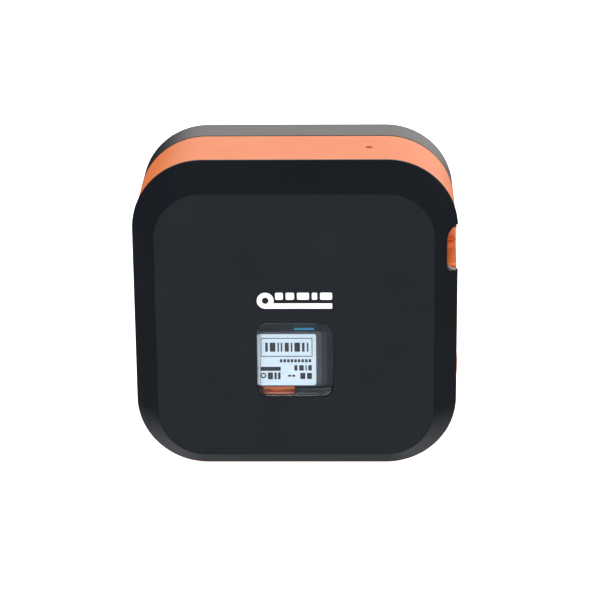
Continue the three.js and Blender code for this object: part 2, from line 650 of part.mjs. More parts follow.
// parts soldered on the board: [left, right, low, high, thickness]
const boardParts = [[-30, -16, 66, 80, 1.2], [4, 14, 70, 80, 1.6], [24, 36, 58, 64, 2.4]];
addPiece('main_board', cut(
  join(
    prismY(roundedShape(boardWidth, boardHeight, 3, boardX, boardZ), boardY, boardBackY, 3),
    ...boardParts.map(([x0, x1, z0, z1, thick]) => box(x0, x1, boardY + 1, boardBackY + thick, z0, z1)),
  ),
  ...screwSpots.map(([x, z]) => rodY(bossRadius + gap, x, z, deckY, rearFrontY, 16)),
), colors.board, 0.6);
const moduleLeft = 14 - halfWidth;
const moduleWidth = 15;
addPiece('wireless_module', box(moduleLeft, moduleLeft + moduleWidth, boardBackY + gap,
  boardBackY + 2.6, 60, 80), colors.steel, 0.4, 0.8);
const usbOuterX = -bandHalf + 0.5;
const usbShellThick = 0.4;
addPiece('usb_shell', cut(
  usbBox(usbOuterX, usbOuterX + 8, 0),
  usbBox(usbOuterX - 1, usbOuterX + 7.4, -usbShellThick),
), colors.steel, 0.3, 1);
addPiece('usb_tongue', box(usbOuterX + 0.8, usbOuterX + 7.1, usbY - 0.35, usbY + 0.35,
  usbZ - 3.2, usbZ + 3.2),
  colors.darkPlastic, 0.5);
const batteryY = boardBackY + 5.6;
const batteryDepth = 11.2;
addPiece('battery_pack', prismY(roundedShape(74, 42, 4, 0, 46), batteryY, batteryY + batteryDepth, 4),
  colors.grey, 0.6);

// ---------- tape cassette ----------
const cassetteBackY = deckY - 0.7;
const cassetteSplitY = tapeFrontY + 13;
const cavityHalf = 8;
const cavityLeft = platenX - cavityHalf;
const cavityRight = platenX + cavityHalf;
const cassetteWidth = cassetteRight - cassetteLeft;
const cassetteHeight = cassetteHigh - cassetteLow;
const cassetteX = (cassetteLeft + cassetteRight) / 2;
const cassetteZ = (cassetteLow + cassetteHigh) / 2;
const cassetteRadius = 4;
const shellShape = (inset) => roundedShape(cassetteWidth - 2 * inset, cassetteHeight - 2 * inset,
  cassetteRadius - inset, cassetteX, cassetteZ);
const cavityBox = (grow) => box(cavityLeft - grow, cavityRight + grow, frontY, deckY, cavityLow - grow,
  cassetteHigh + 5);
const spindleHole = rodY(spindleRadius + 1.1, ribbonGear.x, ribbonGear.z, cassetteSplitY, deckY, 16);
const panelLeft = -30;
const panelRight = 10.6;
const panelLow = 37.2;
const panelHigh = 60.55;
const panelFrontY = cassetteFrontY - labelRise;
function cassetteShell(y0, y1, innerY0, innerY1) {
  const hollow = cut(prismY(shellShape(cassetteWall), innerY0, innerY1, 4), cavityBox(cassetteWall));
  return cut(prismY(shellShape(0), y0, y1, 4), hollow, cavityBox(0));
}
addPiece('cassette_front_shell', join(
  cassetteShell(cassetteFrontY, cassetteSplitY, cassetteFrontY + cassetteWall, cassetteSplitY + 1),
  prismY(roundedShape(panelRight - panelLeft, panelHigh - panelLow, 2, (panelLeft + panelRight) / 2,
    (panelLow + panelHigh) / 2), panelFrontY, cassetteFrontY + 0.4, 4),
), colors.grey, 0.5);
addPiece('cassette_back_shell', cut(
  cassetteShell(cassetteSplitY + gap, cassetteBackY, cassetteSplitY, cassetteBackY - cassetteWall),
  spindleHole,
), colors.grey, 0.5);
const labelThick = 0.3;
const labelShape = roundedShape(34.1, 21.6, 0.8, -8.9, 48.75);
addPiece('cassette_label', prismY(labelShape, panelFrontY - 0.02 - labelThick, panelFrontY - 0.02, 2),
  colors.white, 0.5);
const reelFrontY = cassetteFrontY + cassetteWall + 0.5;
const reelBackY = cassetteBackY - cassetteWall - 0.5;
function addReel(name, centre, radius, bore, color) {
  const wound = rodY(radius, centre.x, centre.z, reelFrontY, reelBackY, 28);
  addPiece(name, cut(wound, rodY(bore, centre.x, centre.z, frontY, deckY, 12)), color, 0.5);
}
const tapeRoll = { x: cassetteLeft + 25, z: cassetteLow + 27.4 };
const ribbonSupply = { x: cassetteRight - 24, z: cassetteLow + 17.4 };
const rollRadius = 21.5;
const coreRadius = 4.6;
const coreBore = 3;
const supplyRadius = 9;
const takeupRadius = 5;
addReel('tape_roll', tapeRoll, rollRadius, coreRadius + 0.4, colors.white);
addReel('tape_core', tapeRoll, coreRadius, coreBore, colors.acetal);
addReel('ribbon_supply', ribbonSupply, supplyRadius, coreBore, colors.darkPlastic);
addReel('ribbon_takeup', ribbonGear, takeupRadius, spindleRadius + 0.5, colors.darkPlastic);
addPiece('tape_strip', box(platenX - 15, bladeLeft - 0.6, tapeFrontY, tapeBackY,
  tapeZ - tapeThick / 2, tapeZ + tapeThick / 2), colors.white, 0.5);

// the proud power button makes the right side wider, so the whole stands centred on its box
group.position.x = -(powerProud - bandInset) / 2;

export default group;
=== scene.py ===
import math

import bmesh
import bpy
from mathutils import Matrix, Vector


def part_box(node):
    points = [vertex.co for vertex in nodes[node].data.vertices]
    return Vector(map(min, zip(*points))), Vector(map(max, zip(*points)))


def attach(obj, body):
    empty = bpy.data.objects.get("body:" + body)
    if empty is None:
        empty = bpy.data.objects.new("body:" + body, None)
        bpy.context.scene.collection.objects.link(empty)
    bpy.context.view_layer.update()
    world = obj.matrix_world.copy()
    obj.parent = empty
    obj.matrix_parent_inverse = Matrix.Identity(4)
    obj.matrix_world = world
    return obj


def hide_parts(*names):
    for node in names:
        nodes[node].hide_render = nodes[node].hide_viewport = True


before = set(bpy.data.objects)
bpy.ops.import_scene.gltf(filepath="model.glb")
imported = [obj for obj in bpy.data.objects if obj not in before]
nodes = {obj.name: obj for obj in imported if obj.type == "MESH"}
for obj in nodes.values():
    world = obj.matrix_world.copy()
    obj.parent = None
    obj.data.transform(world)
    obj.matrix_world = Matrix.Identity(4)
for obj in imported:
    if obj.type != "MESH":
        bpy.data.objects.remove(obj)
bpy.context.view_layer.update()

# Every size below is in millimetres; meshes are written in metres.
mm = 0.001


def cadBox(node):
    low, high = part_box(node)
    return low / mm, high / mm


def crossCentre(low, high):
    # seen from the front
    return (low.x + high.x) / 2, (low.z + high.z) / 2


def sideCentre(low, high):
    # seen from the side
    return (low.y + high.y) / 2, (low.z + high.z) / 2


def topCentre(low, high):
    # seen from above
    return (low.x + high.x) / 2, (low.y + high.y) / 2


def onAxis(axis, a, b, along):
    # a point from its place along an axis and its two other coordinates in order
    return {"x": (along, a, b), "y": (a, along, b), "z": (a, b, along)}[axis]


def roundedOutline(halfX, halfZ, radius, centreX, centreZ, steps):
    outline = []
    for turn, (sideX, sideZ) in enumerate(((1, 1), (-1, 1), (-1, -1), (1, -1))):
        for i in range(steps + 1):
            angle = math.pi / 2 * (turn + i / steps)
            outline.append((centreX + sideX * (halfX - radius) + radius * math.cos(angle),
                            centreZ + sideZ * (halfZ - radius) + radius * math.sin(angle)))
    return outline


def boxOutline(left, right, low, high, radius, steps):
    centreX, centreZ = (left + right) / 2, (low + high) / 2
    return roundedOutline((right - left) / 2, (high - low) / 2, radius, centreX, centreZ, steps)


def upright(outline, y):
    # an outline seen from the front, stood at one depth
    return [(x, y, z) for x, z in outline]


def filleted(corners, closed=False, steps=4):
    # corners are (a, b, radius); the path comes back with each corner turned into an arc
    path = []
    for i, (a, b, radius) in enumerate(corners):
        here = Vector((a, b))
        if not radius or (not closed and i in (0, len(corners) - 1)):
            path.append(here)
            continue
        toBefore = Vector(corners[i - 1][:2]) - here
        toAfter = Vector(corners[(i + 1) % len(corners)][:2]) - here
        half = toBefore.angle(toAfter) / 2
        reach = min(radius / math.tan(half), 0.94 * toBefore.length, 0.94 * toAfter.length)
        radius = reach * math.tan(half)
        middle = here + (toBefore.normalized() + toAfter.normalized()).normalized() * radius / math.sin(half)
        start = here + toBefore.normalized() * reach - middle
        end = here + toAfter.normalized() * reach - middle
        first = math.atan2(start.y, start.x)
        sweep = (math.atan2(end.y, end.x) - first + math.pi) % (2 * math.pi) - math.pi
        for k in range(steps + 1):
            angle = first + sweep * k / steps
            path.append(middle + Vector((math.cos(angle), math.sin(angle))) * radius)
    return [tuple(point) for point in path]


def capped(corners, low, high):
    # a profile closed on the axis at both ends; its first corner only sets the slant of the first fillet
    return [(0, low)] + filleted(corners)[1:] + [(0, high)]


def toObject(name, shape):
    bmesh.ops.recalc_face_normals(shape, faces=shape.faces)
    mesh = bpy.data.meshes.new(name)
    shape.to_mesh(mesh)
    shape.free()
    piece = bpy.data.objects.new(name, mesh)
    bpy.context.scene.collection.objects.link(piece)
    return piece


def loft(name, rings, closed=False):
    # rings of points in order; a ring of one point closes to a tip, other open ends get a flat cap
    shape = bmesh.new()
    rows = [[shape.verts.new(Vector(point) * mm) for point in ring] for ring in rings]
    for near, far in zip(rows, rows[1:] + (rows[:1] if closed else [])):
        for i in range(max(len(near), len(far))):
            j = (i + 1) % max(len(near), len(far))
            if len(near) == 1:
                shape.faces.new((near[0], far[j], far[i]))
            elif len(far) == 1:
                shape.faces.new((near[i], near[j], far[0]))
            else:
                shape.faces.new((near[i], near[j], far[j], far[i]))
    if not closed:
        for end in (rows[0], rows[-1]):
            if len(end) > 1:
                shape.faces.new(end)
    return toObject(name, shape)


def turned(name, axis, centre, profile, steps=40, closed=False):
    # profile is (radius, place along the axis); centre gives the two other coordinates in order
    rings = []
    for radius, along in profile:
        angles = [2 * math.pi * i / steps for i in range(steps if radius > 0 else 1)]
        rings.append([onAxis(axis, centre[0] + radius * math.cos(angle),
                             centre[1] + radius * math.sin(angle), along) for angle in angles])
    return loft(name, rings, closed)


def prism(name, outline, low, high, axis="y"):
    return loft(name, [[onAxis(axis, a, b, end) for a, b in outline] for end in (low, high)])


def block(name, low, high):
    corners = [(low[0], low[1]), (high[0], low[1]), (high[0], high[1]), (low[0], high[1])]
    return prism(name, corners, low[2], high[2], "z")


def plate(name, halfX, halfZ, radius, centreX, centreZ, front, back, edge, steps=8):
    # rounded rectangle facing the front, with its front edge rolled over
    path = filleted([(edge + 2, front, 0), (0, front, edge), (0, back, 0)], steps=3)[1:]
    rings = []
    for inset, y in path:
        outline = roundedOutline(halfX - inset, halfZ - inset, max(radius - inset, 0.05),
                                 centreX, centreZ, steps)
        rings.append(upright(outline, y))
    return loft(name, rings)


def combine(piece, tools, operation="DIFFERENCE"):
    for tool in tools:
        change = piece.modifiers.new("combine", "BOOLEAN")
        change.operation, change.solver, change.object = operation, "EXACT", tool
    graph = bpy.context.evaluated_depsgraph_get()
    whole = bpy.data.meshes.new_from_object(piece.evaluated_get(graph))
    piece.modifiers.clear()
    piece.data = whole
    for tool in tools:
        bpy.data.objects.remove(tool)
    return piece


def soften(piece, width, steps=2, angle=30, within=None):
    # rolls the sharp edges over; within picks edges by their middle point in millimetres
    shape = bmesh.new()
    shape.from_mesh(piece.data)
    bmesh.ops.remove_doubles(shape, verts=shape.verts, dist=0.004 * mm)
    bmesh.ops.dissolve_limit(shape, angle_limit=math.radians(0.6), verts=shape.verts, edges=shape.edges)
    sharp = [edge for edge in shape.edges
             if len(edge.link_faces) == 2 and edge.calc_face_angle(0) > math.radians(angle)
             and (within is None or within((edge.verts[0].co + edge.verts[1].co) / 2 / mm))]
    bmesh.ops.bevel(shape, geom=sharp, offset=width * mm, offset_type="OFFSET", segments=steps,
                    profile=0.5, affect="EDGES", clamp_overlap=True)
    shape.to_mesh(piece.data)
    shape.free()
    return piece


def joined(name, pieces):
    # several closed shells in one object
    shape = bmesh.new()
    for piece in pieces:
        shape.from_mesh(piece.data)
        bpy.data.objects.remove(piece)
    return toObject(name, shape)


def refined(name, node, width, steps=2, angle=30):
    # a copy of a CAD shape with its edges rolled over
    piece = bpy.data.objects.new(name, nodes[node].data.copy())
    piece.data.materials.clear()
    bpy.context.scene.collection.objects.link(piece)
    return soften(piece, width, steps, angle)


def place(piece, body, finish, replaced=(), sharp=34):
    piece.data.materials.clear()
    piece.data.materials.append(finish)
    piece.data.polygons.foreach_set("use_smooth", [True] * len(piece.data.polygons))
    piece.data.set_sharp_from_angle(angle=math.radians(sharp))
    piece.modifiers.new("even shading", "WEIGHTED_NORMAL").keep_sharp = True
    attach(piece, body)
    if replaced:
        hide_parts(*replaced)
    return piece


def fromSrgb(hexColour):
    channels = [int(hexColour[i:i + 2], 16) / 255 for i in (1, 3, 5)]
    return [c / 12.92 if c <= 0.04045 else ((c + 0.055) / 1.055) ** 2.4 for c in channels] + [1.0]


def addNode(tree, kind, settings=None, links=None):
    node = tree.nodes.new(kind)
    for name, value in (settings or {}).items():
        if name == "stops":
            ramp = node.color_ramp.elements
            for element, (position, colour) in zip(ramp, value):
                element.position, element.color = position, fromSrgb(colour)
        elif isinstance(name, int) or name in node.inputs:
            node.inputs[name].default_value = value
        else:
            setattr(node, name, value)
    for name, source in (links or {}).items():
        tree.links.new(source, node.inputs[name])
    return node


def newFinish(name):
    finish = bpy.data.materials.new(name)
    finish.use_nodes = True
    finish.node_tree.nodes.clear()
    return finish, finish.node_tree


def grained(name, look):
    # colour clouds, a fine grain in the surface and a little drift in the gloss
    finish, tree = newFinish(name)
    spot = addNode(tree, "ShaderNodeTexCoord").outputs["Object"]
    cloud = addNode(tree, "ShaderNodeTexNoise", {"Scale": 1 / (look["cloud"] * mm), "Detail": 3.0},
                    {"Vector": spot})
    grain = addNode(tree, "ShaderNodeTexNoise", {"Scale": 1 / (look["grain"] * mm), "Detail": 2.0},
                    {"Vector": spot})
    colour = addNode(tree, "ShaderNodeValToRGB", {"stops": [(0.3, look["dark"]), (0.7, look["light"])]},
                     {"Fac": cloud.outputs["Fac"]})
    smooth, dull = look["roughness"]
    gloss = addNode(tree, "ShaderNodeMapRange", {"To Min": smooth, "To Max": dull},
                    {"Value": grain.outputs["Fac"]})
    relief = addNode(tree, "ShaderNodeBump", {"Strength": look["relief"], "Distance": look["depth"] * mm},
                     {"Height": grain.outputs["Fac"]})
    shader = addNode(tree, "ShaderNodeBsdfPrincipled",
                     {"Metallic": look.get("metallic", 0.0), "IOR": look.get("ior", 1.5),
                      "Specular IOR Level": look.get("specular", 0.5)},
                     {"Base Color": colour.outputs["Color"], "Roughness": gloss.outputs["Result"],
                      "Normal": relief.outputs["Normal"]})
    addNode(tree, "ShaderNodeOutputMaterial", None, {"Surface": shader.outputs["BSDF"]})
    return finish


# Cloud, grain, depth and flow below are millimetres: the width of a colour cloud, of a grain of the surface,
# its height and the length of a ripple.
# Spark-eroded ABS: a dry, even black that only greys where it mirrors something bright.
# The real grain is about 0.15 mm; 0.45 mm is the finest that shows.
blackAbs = grained("black ABS, spark-eroded mould", {
    "dark": "#101419", "light": "#14181e", "roughness": (0.32, 0.40), "grain": 0.45, "relief": 0.10,
    "depth": 0.03, "cloud": 30})
# The back shell has a coarser spark grain, so it greys softly along its top.
charcoalAbs = grained("charcoal ABS, spark-eroded mould", {
    "dark": "#17191d", "light": "#1d2024", "roughness": (0.38, 0.48), "grain": 0.6, "relief": 0.14,
    "depth": 0.04, "cloud": 30, "specular": 0.8})
# Solid-coloured ABS with a fine satin: flat orange with a pale sheen along the top.
orangeAbs = grained("orange ABS, satin mould", {
    "dark": "#ea7c43", "light": "#ee8248", "roughness": (0.38, 0.48), "grain": 0.45, "relief": 0.08,
    "depth": 0.03, "cloud": 25, "specular": 0.32})
# Polystyrene from a semi-polished mould: a smoky grey with soft bands of light at its edges.
greyPolystyrene = grained("grey polystyrene, semi-polished mould", {
    "dark": "#101216", "light": "#14161a", "roughness": (0.26, 0.34), "grain": 0.5, "relief": 0.06,
    "depth": 0.02, "cloud": 15, "specular": 0.35})
# The raised panel is polished less and is given a lighter grey than the shell round it: the lighter colour is
# a painted highlight for the light its raised, rounded edges catch.
litPanelPolystyrene = grained("grey polystyrene, matt mould, painted highlight", {
    "dark": "#3e4147", "light": "#464950", "roughness": (0.42, 0.52), "grain": 0.5, "relief": 0.08,
    "depth": 0.02, "cloud": 15})
# Acetal from a plain mould: milky, slightly waxy off-white.
whiteAcetal = grained("natural acetal, plain mould", {
    "dark": "#ddd9cd", "light": "#e6e2d7", "roughness": (0.30, 0.40), "grain": 0.5, "relief": 0.05,
    "depth": 0.02, "cloud": 12, "ior": 1.48})
# Ground nitrile rubber: dull charcoal with a fine tooth from grinding.
groundRubber = grained("nitrile rubber, ground", {
    "dark": "#1b1c1e", "light": "#232426", "roughness": (0.70, 0.85), "grain": 0.35, "relief": 0.35,
    "depth": 0.06, "cloud": 8, "ior": 1.52})
# Zinc-plated steel: bright grey with a slightly cloudy plating.
zincSteel = grained("zinc-plated steel, bright", {
    "dark": "#aeb1b5", "light": "#c3c6c9", "roughness": (0.22, 0.34), "grain": 0.8, "relief": 0.05,
    "depth": 0.02, "cloud": 5, "metallic": 1.0})
# Drawn steel can: a touch darker and smoother than the screws.
drawnSteel = grained("nickel-plated steel, deep-drawn", {
    "dark": "#9fa2a6", "light": "#b4b7ba", "roughness": (0.20, 0.30), "grain": 1.2, "relief": 0.05,
    "depth": 0.02, "cloud": 9, "metallic": 1.0})
# Rolled aluminium: pale, dull metal.
rolledAluminium = grained("aluminium sheet, rolled", {
    "dark": "#c8cbce", "light": "#d6d8da", "roughness": (0.32, 0.42), "grain": 0.7, "relief": 0.06,
    "depth": 0.02, "cloud": 7, "metallic": 1.0})
# Glazed alumina: near-white ceramic with a hard gloss.
glazedCeramic = grained("alumina ceramic, glazed", {
    "dark": "#d9d6cf", "light": "#e2dfd9", "roughness": (0.10, 0.16), "grain": 0.8, "relief": 0.02,
    "depth": 0.01, "cloud": 5, "ior": 1.76})
# Solder-masked glass-fibre board: deep green with a soft gloss over the copper.
maskedBoard = grained("glass-fibre board, solder-masked", {
    "dark": "#12402c", "light": "#1a5139", "roughness": (0.28, 0.38), "grain": 0.5, "relief": 0.10,
    "depth": 0.02, "cloud": 3, "ior": 1.55})
# Shrink film round the cells: thin blue-grey skin, glossy.
shrinkFilm = grained("PVC shrink film", {
    "dark": "#2f3a4a", "light": "#384456", "roughness": (0.18, 0.30), "grain": 3.0, "relief": 0.15,
    "depth": 0.1, "cloud": 12, "ior": 1.53})
# Coated paper label: cool, slightly blue white, dead flat.
coatedPaper = grained("coated paper label, matt", {
    "dark": "#dcecf9", "light": "#e1f0fb", "roughness": (0.50, 0.60), "grain": 0.4, "relief": 0.05,
    "depth": 0.01, "cloud": 9, "ior": 1.5})
# Polyester plate: silvery grey, brushed by rolling.
silverPolyester = grained("polyester rating label, satin", {
    "dark": "#b9bcbf", "light": "#c3c6c8", "roughness": (0.34, 0.42), "grain": 0.5, "relief": 0.05,
    "depth": 0.01, "cloud": 10, "ior": 1.57})
# Laminated polyester tape: clean white with a film gloss.
laminatedTape = grained("polyester tape, laminated", {
    "dark": "#e9ecee", "light": "#f1f3f4", "roughness": (0.16, 0.24), "grain": 1.0, "relief": 0.03,
    "depth": 0.01, "cloud": 9, "ior": 1.57})
# Wound ink ribbon: black film with a soft satin.
woundRibbon = grained("ink ribbon, wound", {
    "dark": "#111215", "light": "#191b1f", "roughness": (0.24, 0.36), "grain": 0.4, "relief": 0.2,
    "depth": 0.03, "cloud": 4, "ior": 1.57})
# Pad-printed inks: flat films a few hundredths thick.
whiteInk = grained("white pad-printing ink", {
    "dark": "#f4f5f6", "light": "#ffffff", "roughness": (0.42, 0.52), "grain": 0.6, "relief": 0.04,
    "depth": 0.01, "cloud": 6})
blackInk = grained("black offset ink", {
    "dark": "#1d2024", "light": "#282b30", "roughness": (0.40, 0.50), "grain": 0.5, "relief": 0.04,
    "depth": 0.01, "cloud": 3})
# this grey is used only for the painted shade along the label's fold
foldShadeGrey = grained("grey painted fold shade", {
    "dark": "#8d9196", "light": "#979ba0", "roughness": (0.40, 0.50), "grain": 0.5, "relief": 0.04,
    "depth": 0.01, "cloud": 3})
blueInk = grained("blue offset ink", {
    "dark": "#2592c0", "light": "#2b98c6", "roughness": (0.35, 0.45), "grain": 0.5, "relief": 0.04,
    "depth": 0.01, "cloud": 3})
# Frosted polycarbonate rod, coloured a dark brown as painted shade for the shadow down its hole in the band.
shadedPipe = grained("polycarbonate light pipe, painted shade", {
    "dark": "#2a1d18", "light": "#33241d", "roughness": (0.30, 0.40), "grain": 0.4, "relief": 0.05,
    "depth": 0.01, "cloud": 2, "ior": 1.58})


def clearWindow(name, look):
    # clear to the lamps, so that what lies behind it is lit as through real acrylic
    finish, tree = newFinish(name)
    spot = addNode(tree, "ShaderNodeTexCoord").outputs["Object"]
    wave = addNode(tree, "ShaderNodeTexNoise", {"Scale": 1 / (look["flow"] * mm), "Detail": 1.0},
                   {"Vector": spot})
    relief = addNode(tree, "ShaderNodeBump", {"Strength": look["relief"], "Distance": look["depth"] * mm},
                     {"Height": wave.outputs["Fac"]})
    glass = addNode(tree, "ShaderNodeBsdfPrincipled",
                    {"Base Color": fromSrgb(look["colour"]), "Roughness": look["roughness"],
                     "IOR": look["ior"], "Specular IOR Level": look["specular"],
                     "Transmission Weight": 1.0}, {"Normal": relief.outputs["Normal"]})
    passing = addNode(tree, "ShaderNodeBsdfTransparent", {"Color": fromSrgb(look["colour"])})
    ray = addNode(tree, "ShaderNodeLightPath")
    both = addNode(tree, "ShaderNodeMixShader", None,
                   {0: ray.outputs["Is Shadow Ray"], 1: glass.outputs["BSDF"], 2: passing.outputs["BSDF"]})
    addNode(tree, "ShaderNodeOutputMaterial", None, {"Surface": both.outputs["Shader"]})
    return finish


# Cast-clear acrylic from a polished mould: hardly there, with a faint flow ripple.
clearAcrylic = clearWindow("acrylic, polished mould", {
    "colour": "#f4f6f7", "roughness": 0.03, "ior": 1.49, "specular": 0.25, "flow": 9, "relief": 0.03,
    "depth": 0.05})
print("finishes ready")

# Housing: the band and the back shell follow the outline of the cover.
coverLow, coverHigh = cadBox("front_cover")
bandLow, bandHigh = cadBox("mid_frame")
rearLow, rearHigh = cadBox("rear_housing")
lensLow, lensHigh = cadBox("window_lens")
guideLow, guideHigh = cadBox("exit_guide")
body = {
    "centreX": (coverLow.x + coverHigh.x) / 2,
    "centreZ": (coverLow.z + coverHigh.z) / 2,
    "halfWidth": (coverHigh.x - coverLow.x) / 2,
    "halfHeight": (coverHigh.z - coverLow.z) / 2,
    "cornerRadius": 28,
    "cornerSteps": 24,
    "wall": 2,
    "gap": 0.3,
    "bandInset": 0.5,
    "rimDepth": 14.5,  # from the cover's face to the end of its slanted border
    "lipWall": 1.2,
    "stepDepth": 2,  # how far the full wall runs before it steps in to the lip
}
cutPast = 1  # how far a cutting shape stands out of what it cuts
cutAngle = 50  # only edges sharper than this are rolled over where two shapes were cut


def bodyRing(inset, y):
    return upright(roundedOutline(
        body["halfWidth"] - inset, body["halfHeight"] - inset, body["cornerRadius"] - inset,
        body["centreX"], body["centreZ"], body["cornerSteps"]), y)


cover = {
    "faceY": coverLow.y + 0.03,  # the print on the face takes up the last 0.03 mm
    "rimY": coverLow.y + body["rimDepth"],
    "backY": coverLow.y + 15.3,
    "bevelInset": 9.5,
    "rimFillet": 0.7,
    "faceFillet": 0.4,
    "backFillet": 0.2,
    "insideFillets": (0.6, 0.4),
    "sideShift": 2.39,  # wall thickness measured sideways through the slanted border
    "windowRadius": 4.5,
    "windowFlange": 1.6,
    "windowFillets": (0.35, 0.1),
    "windowLand": 2,  # flat ring round the opening
}
# The cut-out on the right side; its radii run from the bottom inside to the bottom outside.
notch = {"left": body["centreX"] + body["halfWidth"] - 4.5, "low": 83.2, "high": 101.7,
         "radii": (3.7, 4.2, 0.25, 0.2), "sidePast": 0.03, "flare": 8, "outer": 12, "fillet": 0.25,
         "angle": 35}
# Four hook legs that snap into the orange band; their fillets run from the shoulder to the heel.
legs = {"fromCentre": 20, "width": 10, "reach": 7, "root": 1.6, "fillets": (0.3, 0.3, 0.4, 0.6), "edge": 0.2}
window = {
    "centreX": (lensLow.x + lensHigh.x) / 2,
    "centreZ": (lensLow.z + lensHigh.z) / 2,
    "halfX": (lensHigh.x - lensLow.x) / 2 - cover["windowFlange"],
    "halfZ": (lensHigh.z - lensLow.z) / 2 - cover["windowFlange"],
}


def windowRing(grow, y, steps=body["cornerSteps"]):
    return upright(roundedOutline(
        window["halfX"] + grow, window["halfZ"] + grow, cover["windowRadius"] + grow,
        window["centreX"], window["centreZ"], steps), y)


def buildShell(slope):
    innerFaceY = cover["faceY"] + body["wall"]
    innerInset = cover["sideShift"] + (cover["rimY"] - innerFaceY) * slope
    support = body["cornerRadius"] - cover["windowRadius"]
    outside = filleted([
        (cover["sideShift"], cover["backY"], 0), (0, cover["backY"], cover["backFillet"]),
        (0, cover["rimY"], cover["rimFillet"]), (cover["bevelInset"], cover["faceY"], cover["faceFillet"]),
        (support, cover["faceY"], 0)], steps=5)
    frontFillet, backFillet = cover["windowFillets"]
    opening = filleted([(cover["windowLand"], cover["faceY"], 0), (0, cover["faceY"], frontFillet),
                        (0, innerFaceY, backFillet), (cover["windowLand"], innerFaceY, 0)])
    faceFillet, rimFillet = cover["insideFillets"]
    inside = filleted([
        (support, innerFaceY, 0), (innerInset, innerFaceY, faceFillet),
        (cover["sideShift"], cover["rimY"], rimFillet), (cover["sideShift"], cover["backY"], 0)])[:-1]
    return loft("front_cover_shell", [bodyRing(inset, y) for inset, y in outside]
                + [windowRing(grow, y) for grow, y in opening]
                + [bodyRing(inset, y) for inset, y in inside], closed=True)


def cutNotch(shell):
    side = body["centreX"] + body["halfWidth"] + notch["sidePast"]
    left, low, high, outer = notch["left"], notch["low"], notch["high"], side + notch["outer"]
    bottomIn, topIn, topOut, bottomOut = notch["radii"]
    above, below = high + notch["flare"], low - notch["flare"]
    corners = [(left, low, bottomIn), (left, high, topIn), (side, high, topOut), (side, above, 0),
               (outer, above, 0), (outer, below, 0), (side, below, 0), (side, low, bottomOut)]
    combine(shell, [prism("notch", filleted(corners, closed=True, steps=8), coverLow.y - cutPast,
                          cover["backY"] + cutPast)])
    soften(shell, notch["fillet"], 2, notch["angle"],
           lambda spot: spot.x > left - 0.5 and low - 1 < spot.z < high + 1.6)


def buildLegs(slope):
    root, shoulder = bandLow.y - legs["root"], bandLow.y - body["gap"]
    outer = cover["sideShift"] + body["gap"] + (cover["rimY"] - bandLow.y) * slope
    inner = outer + 2 * body["lipWall"] + body["gap"]
    tip = inner - body["lipWall"]
    upper, under, hook, heel = legs["fillets"]
    corners = ((root, outer, 0), (shoulder, outer, upper), (shoulder, tip, under), (coverHigh.y, tip, hook),
               (coverHigh.y, inner, heel), (root, inner, 0))
    built = []
    for side in (-1, 1):
        path = filleted([(y, body["centreZ"] + side * (body["halfHeight"] - inset), radius)
                         for y, inset, radius in corners], closed=True)
        for x in (-legs["fromCentre"], legs["fromCentre"]):
            middle = body["centreX"] + x
            leg = prism("leg", path, middle - legs["width"] / 2, middle + legs["width"] / 2, "x")
            built.append(soften(leg, legs["edge"], 2, cutAngle))
    return built


def buildFrontCover():
    slope = cover["bevelInset"] / (cover["rimY"] - coverLow.y)
    shell = buildShell(slope)
    cutNotch(shell)
    return joined("front_cover_shell", [shell] + buildLegs(slope))


place(buildFrontCover(), "cover", blackAbs, ["front_cover"])

# Pale strip along the foot of the notch: a painted highlight for the light that the notch's upward-facing cut
# edge catches.
sill = {"thick": 0.22, "frontY": cover["backY"] - 2.6, "backY": cover["backY"] - 0.2, "rightGap": 0.9,
        "from": 215, "sweep": 55, "steps": 10, "edge": 0.08}


def buildSill():
    radius = notch["radii"][0]
    middleX, middleZ = notch["left"] + radius, notch["low"] + radius
    outline = []
    for reach, direction in ((radius, 1), (radius - sill["thick"], -1)):
        arc = [(middleX + reach * math.cos(angle), middleZ + reach * math.sin(angle))
               for angle in (math.radians(sill["from"] + sill["sweep"] * k / sill["steps"])
                             for k in range(sill["steps"] + 1))]
        arc.append((body["centreX"] + body["halfWidth"] - sill["rightGap"], middleZ - reach))
        outline += arc[::direction]
    strip = prism("notch_highlight_strip", outline, sill["frontY"], sill["backY"])
    return soften(strip, sill["edge"], 2, cutAngle)


# the strip's pale polyester colour is a painted highlight on the notch's upward-facing edge
place(buildSill(), "cover", silverPolyester)

# Clear moulding: a flange behind the opening and a raised pane that fills it.
lens = {"flange": 0.8, "fit": 0.3, "paneInset": 3, "paneFillet": 0.25, "rootFillet": 0.1, "edgeFillet": 0.15}


def buildLens():
    front, back = lensLow.y, lensHigh.y
    step = back - lens["flange"]
    path = filleted([
        (-lens["paneInset"], front, 0), (-lens["fit"], front, lens["paneFillet"]),
        (-lens["fit"], step, lens["rootFillet"]), (cover["windowFlange"], step, lens["edgeFillet"]),
        (cover["windowFlange"], back, lens["edgeFillet"]), (-lens["paneInset"], back, 0)])
    return loft("window_lens_moulding", [windowRing(grow, y, 12) for grow, y in path])


place(buildLens(), "cover", clearAcrylic, ["window_lens"])

# White printed pictogram on the face: a roll of tape, its strip and five plain marks above it.
facePrint = {"left": -15.2, "right": 14.2, "low": 71.8, "high": 78.4, "roll": 3.3, "core": 1.3, "strip": 2.2,
             "marks": ((-8.0, -5.0), (-3.9, -0.6), (0.5, 5.2), (6.3, 8.4), (9.5, 14.2)), "markHeight": 2.9,
             "markRadius": 0.5, "sunk": 0.02}


